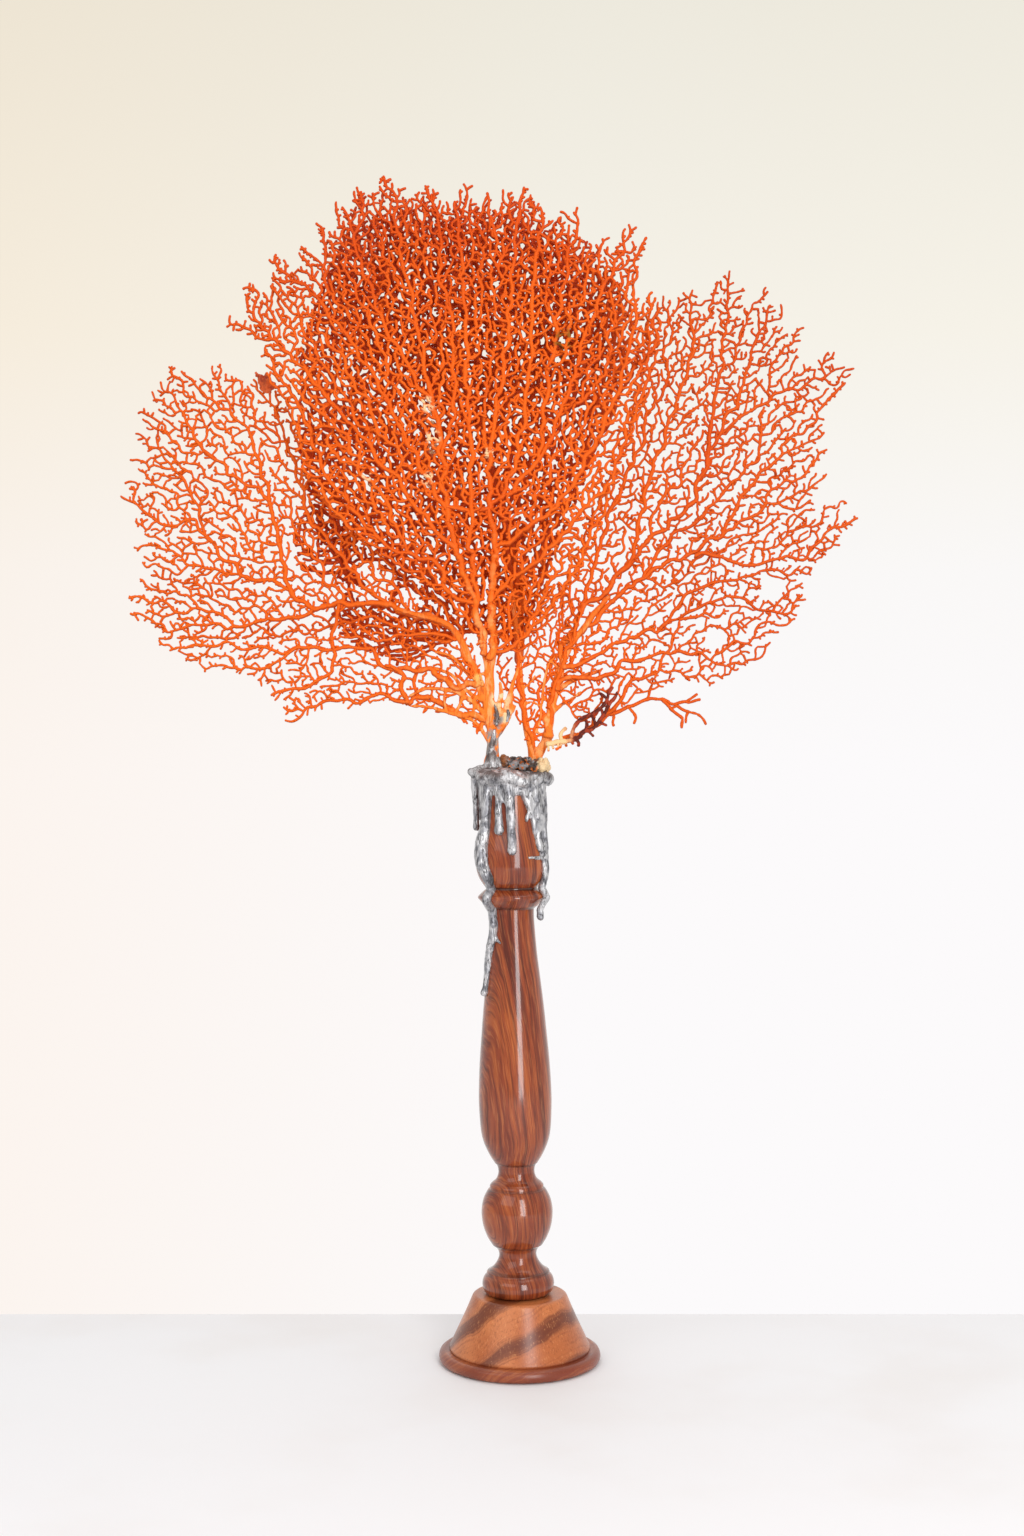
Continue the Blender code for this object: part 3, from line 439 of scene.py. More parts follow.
# Sprays too small for an outline: limbs with their start radius, and their depth
SPRIG = [
    arm(1.7, 26, 385, 31, 387, 45, 393, 58, 401, 68, 404, 79, 410, 88, 410, 95, 407, 104, 408,
        112, 408),
    arm(1.1, 68, 404, 71, 397, 70, 393),
    arm(1, 58, 401, 60, 394),
    arm(1, 79, 410, 84, 416, 83, 421),
    arm(1.1, 88, 410, 93, 403, 100, 397, 101, 392),
    arm(1, 93, 403, 97, 405),
    arm(1, 95, 407, 104, 401, 111, 397, 114, 393),
    arm(0.9, 104, 401, 103, 396),
    arm(0.9, 45, 393, 49, 399, 48, 404),
    arm(0.9, 104, 408, 108, 412),
]
SPRIG_DEPTH = 4.0
SPRIG_SEED = 31
STRIP = [
    arm(1.6, 16.2, 381.5, 22.4, 382.8, 28.5, 384, 34.7, 385.2, 39, 387.7, 44, 390.8, 48.3, 395.1,
        52, 400.7, 55.1, 406.8, 58.8, 413.6),
    arm(1.3, 31, 386.5, 35.3, 390.8, 40.3, 395.1, 44.6, 398.8, 48.9, 404.4, 52.6, 409.9,
        56.3, 416.1),
    arm(1.1, 39.7, 388.3, 40.9, 392, 40.3, 395.1),
    arm(1.1, 46.4, 393.2, 45.8, 397, 44.6, 398.8),
    arm(1, 51.4, 400, 50.8, 402.5, 48.9, 404.4),
    arm(1, 54.5, 406.2, 53.9, 408.7, 52.6, 409.9),
    arm(1, 34.7, 384.6, 36.6, 382.1, 35.9, 380.3),
    arm(0.9, 27.9, 383.4, 28.5, 380.3),
    arm(0.9, 23, 382.1, 24.2, 378.4, 23, 377.2),
    arm(0.9, 17.4, 380.9, 18, 377.2),
    arm(0.9, 42.1, 389.5, 44.6, 387.1),
    arm(1, 48.9, 395.1, 52, 393.2),
    arm(1, 53.2, 409.9, 50.8, 413.6),
    arm(0.9, 31, 385.2, 32.2, 381.5),
    arm(0.8, 19.9, 382.1, 20.5, 379),
    arm(0.8, 25.5, 382.8, 26.1, 379.7),
    arm(1.2, 26.1, 383.4, 25.5, 387.1, 27.9, 390.2),
]
STRIP_DEPTH = -5.0
STRIP_SEED = 32

# The shell on the left rim: runs of (x, z, radius)
SHELL_RUNS = [
    rows(3, -163.6, 612, 0.7, -161.6, 609.6, 1.5, -159.2, 606.6, 3.4, -156.8, 604.6, 4.4,
        -153.8, 603.8, 3.2, -151.8, 604.8, 1.2),
    rows(3, -158.4, 603.4, 3, -157, 600.6, 2.2, -154.6, 599.2, 1),
    rows(3, -157.4, 607.4, 2.6, -156.6, 611, 0.9),
]
SHELL_DEPTH = -1.0

# Turned profiles from the foot up, as runs of (height, radius) with a sharp edge between runs
BASE_RUNS = [
    rows(2, 0, 46.4, 0.35, 48, 1.2, 49.3, 3.7, 50, 6.2, 49.2, 7.1, 48, 7.5, 46.6),
    rows(2, 7.5, 46.6, 7.35, 45, 7.5, 43.2),
    rows(2, 7.5, 43.2, 8.4, 43.7, 9.6, 43.2, 11.4, 42.2, 18, 39.2, 25.2, 35.8, 33, 32.3,
        38.6, 29.9, 40.3, 29.1, 41, 28.2, 41.2, 27.2),
]
POST_RUNS = [
    rows(2, 41.5, 18, 42.2, 19.8, 43.8, 21.3, 47.7, 22.3, 51.6, 21.4, 54.2, 19.2),
    rows(2, 54.2, 19.2, 54.8, 19.5, 55.5, 19.1, 55.9, 18.2),
    rows(2, 55.9, 18.2, 58.3, 15.2, 62, 12.6, 65.7, 11.5, 69, 12.4, 71, 14.2),
    rows(2, 71, 14.2, 71.5, 14.9, 71.9, 15.6),
    rows(2, 71.9, 15.6, 77, 18.7, 84, 21.2, 92.3, 22.1, 99.5, 21, 104.4, 18.8, 106.3, 17.5),
    rows(2, 106.3, 17.5, 106.7, 16.5, 107.3, 16.7),
    rows(2, 107.3, 16.7, 108.6, 16.6, 110.2, 15.2),
    rows(2, 110.2, 15.2, 112.6, 12.5, 116.5, 11.2, 120, 11.6, 121.9, 12.5),
    rows(2, 121.9, 12.5, 122.4, 13.3),
    rows(2, 122.4, 13.3, 127.7, 16.6, 135.1, 19.9, 142.6, 21.6, 153.7, 22.4, 165, 22.6,
        183.5, 21.8, 202, 20.3, 220.7, 18.6, 239.3, 16.5, 254, 14.9, 272.8, 13.6, 279.4, 13.6),
    rows(2, 279.4, 13.6, 280.2, 14.4, 281.2, 15.9),
    rows(2, 281.2, 15.9, 284.4, 19.2, 286.2, 20.8, 287, 21.2, 287.9, 20.8, 290, 18.6,
        291.7, 16.5),
    rows(2, 291.7, 16.5, 292.3, 15.8, 293, 16.2),
    rows(2, 293, 16.2, 295.2, 17.8, 299, 20.1, 304, 21.7, 309, 22, 316, 21.1, 329, 18.9,
        345, 18, 358, 17.4),
]

PROFILE_STEP = 1.2

# Grooves between the post's turned parts: height, and how dark
POST_GROOVES = rows(2, 55.8, 0.5, 71.4, 0.5, 106.9, 0.3, 122.2, 0.5, 280.2, 0.5, 292.4, 0.85)

# Poured metal: the rim's profile, how it dips and swells, then its runs as
# (degrees round from the front, height, radius, lift off the post)
RIM_PROFILE = rows(2, 350, 17.4, 353, 18, 355.6, 19.6, 357.8, 22.2, 359.8, 24.2, 362, 24.9,
    364.2, 24.2, 366.2, 21.6, 367.4, 16, 367.8, 6)
RIM_SIDES = 64
RIM_DIP_FROM = 0.357
RIM_DIP = 0.0019
RIM_WAVE = 0.0010
RIM_SWELL = 0.046
RIM_LUMP = 0.15
RIM_LUMP_RATE = 150.0
RUN_SINK = 0.35
METAL_RUNS = [
    rows(4, -108, 364, 2, 4.2, -92, 364.8, 2.6, 5.8, -78, 364.6, 2, 4),
    flush(-48, 361.8, 3.7, -51, 355.7, 4, -50, 347.2, 3.7, -50, 338, 3.4, -51, 329.4, 3.7,
        -55, 321.5, 4.3, -53, 314.8, 4.5, -48, 306.9, 4, -42, 299.5, 3.4, -46, 293.4, 2.8,
        -43, 287.9, 3.1, -48, 283.6, 3.1, -54, 277.5, 3.1, -51, 270.8, 3.1, -52, 263.5, 2.8,
        -60, 256.8, 2.8, -66, 249.4, 2.5, -68, 240.3, 2.2, -70, 232.3, 2.3, -70, 228.1, 2.8),
    flush(-50, 264.1, 1.6, -37, 261, 1.2, -30, 259.2, 0.9),
    flush(-26, 359.4, 2.5, -24, 350.2, 2.2, -23, 341.1, 2.2, -21, 333.7, 2.5, -21, 328.2, 3.2),
    flush(-6, 358.2, 4, -2, 350.2, 3.6, 0, 341.1, 3.1, 1, 330.1, 2.7, 2, 319.7, 2.9, 2, 316, 3.2),
    flush(-14, 358.2, 2.2, -12, 351.4, 1.9, -13, 347.2, 2.2),
    flush(10, 359.4, 2.8, 13, 354, 2.2, 14, 351, 1.6),
    flush(19, 359.4, 3.1, 27, 352, 2.8, 35, 345.3, 2.5, 41, 339.2, 2.2, 47, 333.1, 2.2,
        52, 325.8, 2.2, 54, 316.6, 2.2),
    flush(34, 359.4, 3.2, 40, 352, 3, 48, 344.3, 2.8, 53, 337.2, 2.8, 58, 329.1, 2.6,
        60, 320.8, 2.4, 60, 312.6, 2.2),
    rows(4, 50, 359.4, 3.7, 0, 56, 350.2, 3.7, 0, 62, 342.3, 3.7, 0, 66, 333.7, 3.7, 0,
        68, 325.2, 3.4, 0, 66, 316.6, 2.8, 0, 66, 307.5, 2.5, 0, 70, 298.3, 2.3, 1,
        68, 292.2, 2.5, 3),
    rows(4, 44, 357, 4, -0.6, 52, 348, 4, -0.6, 60, 339, 4, -0.6, 64, 330, 3.6, -0.6,
        65, 321, 3.2, -0.4, 64, 314, 2.4, 0),
    rows(4, 74, 357, 4.4, -0.6, 76, 346, 4.2, -0.6, 76, 336, 4, -0.6, 75, 326, 3.4, -0.6,
        72, 316, 2.8, -0.4),
    flush(80, 359.4, 3.1, 79, 350.2, 2.4, 78, 341.1, 2.6, 77, 330.1, 2.4, 74, 319.7, 2.2,
        71, 310.5, 2),
    flush(62, 311.7, 2, 48, 311.4, 1.3, 37, 311.7, 1, 29, 311.9, 0.8),
    flush(44, 339.8, 2.2, 34, 337.4, 1.6, 30, 334.3, 1.2),
    rows(4, 68, 292.2, 2.4, 3, 66, 287.5, 2.2, 1.5, 58, 283, 2, 4, 57, 278.5, 2, 6,
        55, 274.8, 2.5, 6.5),
    rows(4, -84, 361, 2.8, 3.5, -86, 354, 2.2, 3.5, -85, 346, 1.9, 3, -84, 337, 1.8, 2.2,
        -83, 330, 2.3, 2),
    flush(-70, 361, 3, -70, 352, 2.2, -68, 344, 1.4),
    flush(98, 360, 3.2, 99, 350, 2.4, 97, 341, 2.6),
    flush(112, 360, 3.6, 115, 343, 2.6, 118, 330, 2.5, 118, 325, 2.9),
    flush(131, 360, 3, 133, 350, 2, 133, 344, 2.3),
    flush(150, 361, 4, 148, 348, 3.3, 148, 334, 2.8, 152, 318, 2.6, 150, 305, 2.6, 150, 301, 3.1),
    flush(172, 360, 3.2, 174, 350, 2.1, 173, 343, 2.4),
    flush(190, 360, 3.4, 193, 346, 2.5, 191, 337, 2.6, 191, 333, 3),
    flush(210, 360, 3.4, 211, 352, 2, 210, 347, 2.1),
    flush(228, 361, 3.8, 232, 341, 3, 236, 322, 2.4, 234, 313, 2.5, 234, 309, 2.9),
    flush(250, 360, 3.3, 252, 350, 2.3, 251, 340, 2.2, 251, 336, 2.6),
]

# Metal splashed up the left trunk: runs of (x, y, z, radius)
METAL_SPLASHES = [
    rows(4, -18.5, -4.5, 364, 5.2, -18, -5.2, 369, 4.4, -17.4, -5.6, 373.5, 3.3,
        -17.4, -5.6, 379, 2.3, -16.4, -5.6, 385, 1.9, -15.8, -5.8, 390, 1.3),
    rows(4, -12.6, -8, 365, 2.8, -12.4, -7.6, 369, 2, -13, -6.6, 373, 1.2),
    rows(4, -14.8, -5.6, 393, 1.4, -13.8, -5.8, 397.5, 1.8, -14.4, -5.4, 402, 1.3,
        -15.4, -5.2, 406, 0.8),
    rows(4, -8.4, -4.8, 395, 1, -7, -4.8, 399, 1.3, -7.4, -4.6, 403, 0.9),
]

# Lumps of old crust at the foot of the coral: centre x, y, z, then half sizes
CRUST_LUMPS = rows(6, -1, 0, 367.8, 17.5, 10, 3.6, -8.4, -8, 370.6, 3.4, 4.2, 3.6,
    -10.4, -6, 373, 2.2, 2.6, 2.2, -3.4, -11, 368.6, 3, 3, 2.8, 1.6, -12.6, 367.4, 2.8, 3, 2.6,
    5.8, -12, 368.2, 2.8, 2.8, 3, 9.6, -10.6, 369.4, 2.8, 3, 2.8,
    -0.4, -8.6, 371.6, 2.6, 2.6, 2.2, 4.6, -7.6, 371.8, 2.8, 2.6, 1.8,
    13.2, -9.4, 367.4, 3.4, 3.2, 3, 15.6, -6.4, 369.2, 2.6, 3, 3.4, 12.4, -5, 371.6, 3, 2.6, 2,
    16.6, -2, 366.6, 2.2, 3, 3.2, -14.6, 2, 369.6, 3, 3.6, 2.6, -4.6, 3.6, 371, 4, 3.6, 2.8,
    4.4, 4.4, 370.8, 3.6, 3.4, 2.6, 10.6, 4, 370.6, 3.6, 3.6, 2.8,
    -5.8, -13.4, 366.8, 2.2, 2.2, 2, 9.2, -13.6, 366, 2.2, 2.2, 2)

# Faces round the metal's runs, and round every other tube that is fused
RUN_SIDES = 14
TUBE_SIDES = 12

# Sizes of the cells that the crust and the shell are fused from, in metres
CRUST_GRAIN = 0.0006
SHELL_GRAIN = 0.0004

# Stage, in metres; each light: name, share of the key's power, size, place
FLOOR_SIZE = (3.4, 1.4, 0.02)
FLOOR_CENTRE = (0.0, 0.098 - 0.7, -0.0101)
CAMERA_X = -0.0048
LENS = 44.53
SENSOR = 36.0
AIM_HEIGHT = 0.38
LIGHTS = (
    ("key", 1.0, (0.44, 1.5), (0.50, -1.45, 0.60)),
    ("fill", 0.32, (1.4, 1.0), (-0.9, -1.2, 1.2)),
    ("overhead", 0.42, (1.8, 1.2), (0.1, 0.1, 1.9)),
)


def srgb(red, green, blue):
    """A colour given as 0 to 255 on screen, as the shader wants it."""
    channels = [channel / 255 for channel in (red, green, blue)]
    return [c / 12.92 if c <= 0.04045 else ((c + 0.055) / 1.055) ** 2.4 for c in channels] + [1.0]


def stops(*marks):
    """A colour ramp's settings from marks of (place, red, green, blue)."""
    return {"stops": [(place, srgb(*shade)) for place, *shade in marks]}


# --- Settings ---


def length(name, description, default):
    """A length that a user may change."""
    return FloatProperty(name=name, description=description, default=default, unit="LENGTH")


def colour(name, description, red, green, blue):
    """A colour that a user may change."""
    return FloatVectorProperty(
        name=name, description=description, default=srgb(red, green, blue), size=4,
        subtype="COLOR", min=0.0, max=1.0,
    )


class StageSettings(bpy.types.PropertyGroup):
    """Floor, light and camera."""

    floor: colour("Floor", "Colour of the floor", 238, 237, 238)
    key_power: FloatProperty(
        name="Key light", description="Power of the tall soft light", default=17.0, unit="POWER"
    )
    surround: FloatProperty(
        name="Surround", description="Brightness of the pale surround", default=1.0
    )
    camera_height: length("Camera height", "Height of the lens above the floor", 0.3667)
    camera_distance: length("Camera distance", "Lens to the middle of the stand", 1.178)


class WoodSettings(bpy.types.PropertyGroup):
    """The turned base and post."""

    turning_steps: IntProperty(
        name="Steps", description="Faces round each turned piece", default=80, min=24, max=256
    )
    base_light: colour("Base wood", "Pale wood of the base", 196, 116, 66)
    base_dark: colour("Base figure", "Dark figure in the base", 98, 42, 22)
    post_light: colour("Post wood", "Red-brown wood of the post", 146, 66, 32)
    post_dark: colour("Post streaks", "Dark streaks in the post", 78, 28, 14)


class MetalSettings(bpy.types.PropertyGroup):
    """The poured metal cap."""

    grain: length("Grain", "Size of the cells the metal is fused from", 0.00068)
    bright: colour("Metal", "Clean metal", 208, 207, 208)
    dull: colour("Dross", "Dark streaks and hollows", 52, 50, 54)


class CoralSettings(bpy.types.PropertyGroup):
    """The net of the sea fan."""

    step: length("Step", "Length of one step of growth", 0.0013)
    cell: length("Cell", "Distance between the points that twigs grow towards", 0.0019)
    fusing: length("Fusing", "Size of the cells that trunks are fused from", 0.0007)
    main: colour("Coral", "Orange of the fan", 229, 97, 17)
    tip: colour("Tips", "Redder orange of the outer twigs", 204, 68, 10)
    heart: colour("Heart", "Yellow orange of the thick limbs", 242, 124, 40)
    # The back net colour is the red-brown of painted shade: the net behind is darkened towards it
    # where the front net would shadow it, and the fan towards its right. It also gives small dark
    # specks.
    shade: colour("Back net", "Red-brown of the net behind", 182, 56, 14)
    bare: colour("Bare coral", "Cream of the worn places", 238, 204, 150)


SETTINGS = {
    "fan_stage": StageSettings,
    "fan_wood": WoodSettings,
    "fan_metal": MetalSettings,
    "fan_coral": CoralSettings,
}


# --- Finishes ---


class Wire:
    """A shader value. Sums written with it add Math nodes to its tree."""

    def __init__(self, tree, socket):
        self.tree = tree
        self.socket = socket

    def other(self, output):
        """Another output of the same node."""
        return Wire(self.tree, self.socket.node.outputs[output])

    def math(self, operation, first, second=0.0):
        """One Math node."""
        node = self.tree.nodes.new("ShaderNodeMath")
        node.operation = operation
        for place, term in enumerate((first, second)):
            if isinstance(term, Wire):
                self.tree.links.new(term.socket, node.inputs[place])
            else:
                node.inputs[place].default_value = term
        return Wire(self.tree, node.outputs[0])

    def __add__(self, other):
        return self.math("ADD", self, other)

    def __sub__(self, other):
        return self.math("SUBTRACT", self, other)

    def __rsub__(self, other):
        return self.math("SUBTRACT", other, self)

    def __mul__(self, other):
        return self.math("MULTIPLY", self, other)

    def __abs__(self):
        return self.math("ABSOLUTE", self)

    __radd__ = __add__
    __rmul__ = __mul__

    def sine(self):
        """The sine of the value."""
        return self.math("SINE", self)


class Nodes:
    """A node tree that nodes are added to."""

    def __init__(self, tree):
        self.tree = tree

    def add(self, kind, settings, sockets, output=0):
        """Add a node: settings first, then the values or links of its sockets."""
        node = self.tree.nodes.new(kind)
        for name, value in settings.items():
            if name == "stops":
                for _ in value[2:]:
                    node.color_ramp.elements.new(0.5)
                for element, (at, shade) in zip(node.color_ramp.elements, value):
                    element.position = at
                    element.color = shade
            else:
                setattr(node, name, value)
        for name, value in sockets.items():
            if isinstance(value, Wire):
                self.tree.links.new(value.socket, node.inputs[name])
            else:
                node.inputs[name].default_value = value
        return Wire(self.tree, node.outputs[output])

    def blend(self, factor, first, second):
        """Mix two colours."""
        return self.add(
            "ShaderNodeMix", {"data_type": "RGBA"}, {0: factor, 6: first, 7: second}, 2
        )

    def coats(self, shade, *layers):
        """Lay colours over a shade, each as strongly as its mask says."""
        for mask, over in layers:
            shade = self.blend(mask, shade, over)
        return shade


class Finish(Nodes):
    """A material and the nodes that give it its look."""

    def __init__(self, name, constants):
        self.material = bpy.data.materials.new(name)
        self.material.use_nodes = True
        super().__init__(self.material.node_tree)
        self.shader = self.tree.nodes["Principled BSDF"]
        for socket, value in constants.items():
            self.shader.inputs[socket].default_value = value
        self.place = self.add("ShaderNodeTexCoord", {}, {}, "Object")

    def feed(self, socket, wire):
        """Link a wire to the shader."""
        self.tree.links.new(wire.socket, self.shader.inputs[socket])

    def stretched(self, x, y, z):
        """The place on the object, scaled along each axis."""
        return self.add(
            "ShaderNodeVectorMath", {"operation": "MULTIPLY"}, {0: self.place, 1: (x, y, z)}
        )

    def noise(self, vector, scale, detail=3.0, twist=0.0):
        """Soft noise from 0 to 1."""
        return self.add(
            "ShaderNodeTexNoise", {"noise_dimensions": "3D"},
            {"Vector": vector, "Scale": scale, "Detail": detail, "Distortion": twist},
        )

    def ease(self, value, low, high):
        """0 below low, 1 above high, soft between."""
        return self.add(
            "ShaderNodeMapRange", {"interpolation_type": "SMOOTHSTEP"},
            {"Value": value, "From Min": low, "From Max": high},
        )

    def axes(self):
        """The place on the object as three wires."""
        x = self.add("ShaderNodeSeparateXYZ", {}, {0: self.place})
        return x, x.other(1), x.other(2)

    def distance(self, place, x, z):
        """How far a place is from a point of the fan's plane given in millimetres."""
        return self.add(
            "ShaderNodeVectorMath", {"operation": "DISTANCE"},
            {0: place, 1: (x * MM, 0.0, z * MM)}, "Value",
        )

    def near(self, x, z, reach):
        """1 at a spot of the fan, falling to 0 at its reach; all in millimetres."""
        gap = self.distance(self.stretched(1, 0, 1), x, z)
        return 1.0 - self.ease(gap, reach * 0.55 * MM, reach * MM)

    def done(self, shade, roughness, height, strength, depth):
        """Feed the shader, raise the surface by a depth in millimetres, give the material."""
        self.feed("Base Color", shade)
        self.feed("Roughness", roughness)
        self.feed("Normal", self.add(
            "ShaderNodeBump", {}, {"Height": height, "Strength": strength, "Distance": depth * MM},
            "Normal",
        ))
        return self.material


def coral_finish(name, settings, shaded=False):
    """Dried coral: yellower where thick, redder towards the rim, pale where it is worn; painted
    shade darkens its undersides, its right side and, when shaded, the net behind.
    """
    skin = Finish(name, {"Specular IOR Level": 0.14})
    ease = skin.ease
    patches = skin.noise(skin.place, 30.0, 2.0)
    speckle = skin.noise(skin.place, 620.0, 3.0)
    scuffs = skin.noise(skin.stretched(1, 1, 0.4), 260.0, 3.0, 0.5)
    cracks = skin.noise(skin.stretched(1, 1, 0.12), 520.0, 3.0, 0.3)
    away = skin.distance(skin.place, *CORAL_FOOT)
    across = skin.axes()[0]
    girth = skin.add("ShaderNodeAttribute", {"attribute_name": "girth"}, {}, "Fac")
    # Which way the surface faces, for the painted shade on its undersides.
    facing = skin.add("ShaderNodeTexCoord", {}, {}, "Normal")
    upward = skin.add("ShaderNodeSeparateXYZ", {}, {0: facing}).other(2)
    thick = ease(girth, 1.2, 2.8) * (1.0 - ease(away, 0.03, 0.15))
    body = skin.coats(
        settings.main,
        (ease(patches, 0.46, 0.74) * 0.35, settings.tip),
        (ease(away + patches * 0.05, 0.27, 0.36) * 0.8, settings.tip),
        (thick, settings.heart),
        (thick * ease(scuffs, 0.50, 0.62) * 0.55, srgb(252, 186, 120)),
        (thick * ease(cracks, 0.56, 0.64) * 0.65, srgb(176, 66, 18)),
        (ease(speckle, 0.60, 0.78) * 0.30, settings.heart),
        (ease(speckle, 0.42, 0.26) * 0.35, settings.shade),
        # Painted shade: the coral darkens towards the right of the fan.
        (ease(across, 0.03, 0.12) * 0.35, settings.shade),
        # Painted shade: surfaces that face down are darker.
        (ease(upward, -0.15, -0.75) * 0.5, srgb(130, 34, 10)),
    )
    # Painted shadow of the front net on the net behind: red-brown, less to the right where the net
    # shows past the front, and less near the foot.
    if shaded:
        painted_shadow = (patches * 0.3 + 0.66) * (1.0 - ease(across, 0.035, 0.085) * 0.6)
        painted_shadow = painted_shadow * (ease(away, 0.05, 0.14) * 0.55 + 0.45)
        body = skin.blend(painted_shadow, body, settings.shade)
    blotches = ease(skin.noise(skin.place, 240.0, 3.0), 0.42, 0.56) * 0.9
    body = skin.coats(body, *(
        (skin.near(x, z, reach) * blotches, srgb(*stain)) for x, z, reach, stain in WORN_PLACES
    ))
    grit = speckle + skin.noise(skin.place, 1500.0, 2.0) * 0.5
    return skin.done(body, speckle * 0.3 + 0.42, grit, 0.45, 0.3)


def post_finish(settings):
    """Red-brown polished wood with streaks along the post."""
    wood = Finish("polished_spindle_wood", {
        "Coat Weight": 0.9, "Coat Roughness": 0.10, "Specular IOR Level": 0.15,
    })
    ease = wood.ease
    x, y, z = wood.axes()
    sway = wood.noise(wood.stretched(1, 1, 0.3), 45.0, 2.0)
    level = (x + y * 0.45 + z * 0.13) * 1000.0 + sway * 9.0
    drift, streak, fine = (
        wood.noise(wood.add(
            "ShaderNodeCombineXYZ", {}, {0: level * rate, 1: y * across, 2: z * along}
        ), 1.0, 3.0)
        for rate, across, along in ((0.13, 12.0, 7.0), (0.50, 40.0, 13.0), (1.6, 120.0, 60.0))
    )
    shade = wood.coats(
        settings.post_light,
        (ease(drift, 0.36, 0.66), srgb(118, 46, 22)),
        (ease(drift, 0.44, 0.30) * 0.7, srgb(168, 86, 36)),
        (ease(streak, 0.52, 0.66) * 0.75, settings.post_dark),
        (ease(streak, 0.46, 0.34) * 0.5, srgb(178, 92, 40)),
        (ease(fine, 0.52, 0.66) * 0.55, settings.post_dark),
        (ease(fine, 0.46, 0.34) * 0.25, srgb(208, 132, 78)),
    )
    for height, depth in POST_GROOVES:
        gap = abs(z + x * 0.0166 - height * MM)
        shade = wood.blend((1.0 - ease(gap, 0.0004, 0.0013)) * depth, shade, srgb(44, 14, 8))
    return wood.done(shade, fine * 0.2 + 0.24, fine, 0.10, 0.12)


def base_finish(settings):
    """Pale wood with broad soft dark figure rising to the right, darker at the foot."""
    wood = Finish("figured_base_wood", {
        "Coat Weight": 0.5, "Coat Roughness": 0.26, "Specular IOR Level": 0.25,
    })
    ease = wood.ease
    drift = wood.noise(wood.place, 30.0, 3.0, 0.4)
    x, y, z = wood.axes()
    level = (z * 0.84 - x * 0.55 + y * 0.36) * 1000.0 + drift * 13.0 - 6.5
    band = (level * 0.2327 + 0.64).sine()
    along = wood.add("ShaderNodeCombineXYZ", {}, {0: level * 0.9, 1: x * 30.0, 2: y * 30.0})
    grain = wood.noise(along, 1.0, 4.0)
    fine = wood.noise(wood.stretched(1, 1, 0.2), 1100.0, 3.0)
    foot = ease(z, 0.0095, 0.0065) * (ease(grain, 0.36, 0.60) * 0.35 + 0.6)
    shade = wood.coats(
        settings.base_light,
        (ease(drift, 0.40, 0.62), srgb(176, 96, 50)),
        (ease(grain, 0.50, 0.68) * 0.45, srgb(146, 74, 38)),
        (ease(band + grain * 0.9, 0.36, 1.45) * 0.88, settings.base_dark),
        (ease(fine, 0.54, 0.68) * 0.35, settings.base_dark),
        (ease(fine, 0.42, 0.30) * 0.30, srgb(222, 156, 100)),
        (foot, srgb(126, 54, 32)),
    )
    return wood.done(shade, fine * 0.2 + 0.28, fine, 0.10, 0.15)


def metal_finish(settings):
    """Grey poured metal with thin dark lines where it ran and dark hollows."""
    metal = Finish("poured_metal_skin", {"Metallic": 0.75})
    ease = metal.ease
    flow = metal.noise(metal.stretched(1, 1, 0.20), 300.0, 3.0, 0.8)
    dross = metal.noise(metal.place, 150.0, 4.0, 0.8)
    fine = metal.noise(metal.place, 1300.0, 2.0)
    rim = ease(metal.axes()[2], 0.358, 0.363)
    crease = 1.0 - ease(abs(flow - 0.5), 0.008, 0.035)
    shade = metal.coats(
        settings.bright,
        (ease(dross, 0.40, 0.62), srgb(150, 150, 155)),
        (crease * 0.75, settings.dull),
        (ease(dross, 0.60, 0.72) * 0.6, settings.dull),
        (rim * ease(dross, 0.36, 0.58) * 0.7, srgb(104, 88, 80)),
    )
    height = flow * 2.0 + fine * 0.3 - crease * 0.3
    return metal.done(shade, dross * 0.3 + 0.36, height, 0.6, 0.5)


def crust_finish():
    """Old crust: brown and grey lumps with orange and cream flecks."""
    crust = Finish("holdfast_crust_skin", {})
    ease = crust.ease
    lumps = crust.noise(crust.place, 190.0, 3.0)
    flecks = crust.noise(crust.place, 360.0, 3.0, 0.5)
    x, _, z = crust.axes()
    shade = crust.coats(
        srgb(58, 40, 30),
        (ease(lumps, 0.44, 0.54), srgb(132, 128, 128)),
        (ease(flecks, 0.55, 0.61), srgb(186, 96, 30)),
        (ease(flecks, 0.42, 0.37), srgb(18, 16, 18)),
        (ease(x - z * 0.2 + lumps * 0.006, -0.076, -0.082) * 0.85, srgb(150, 84, 30)),
        (ease(x + lumps * 0.008, 0.0135, 0.0165) * 0.92, srgb(232, 200, 152)),
    )
    return crust.done(shade, flecks * 0.5 + 0.2, flecks + lumps, 0.8, 0.9)


def strip_finish(settings):
    """The folded strip: dark red-brown, orange and cream at its foot."""
    skin = Finish("dark_strip_coral", {"Specular IOR Level": 0.2})
    ease = skin.ease
    marks = skin.noise(skin.place, 260.0, 3.0)
    x, _, z = skin.axes()
    foot = ease(x + marks * 0.01, 0.040, 0.030)
    shade = skin.coats(
        srgb(158, 54, 26),
        (ease(marks, 0.46, 0.60), srgb(92, 30, 18)),
        (foot, settings.main),
        (foot * ease(z - x * 0.35, 0.3708, 0.3722) * 0.9, settings.bare),
    )
    return skin.done(shade, marks * 0.3 + 0.4, marks, 0.5, 0.4)


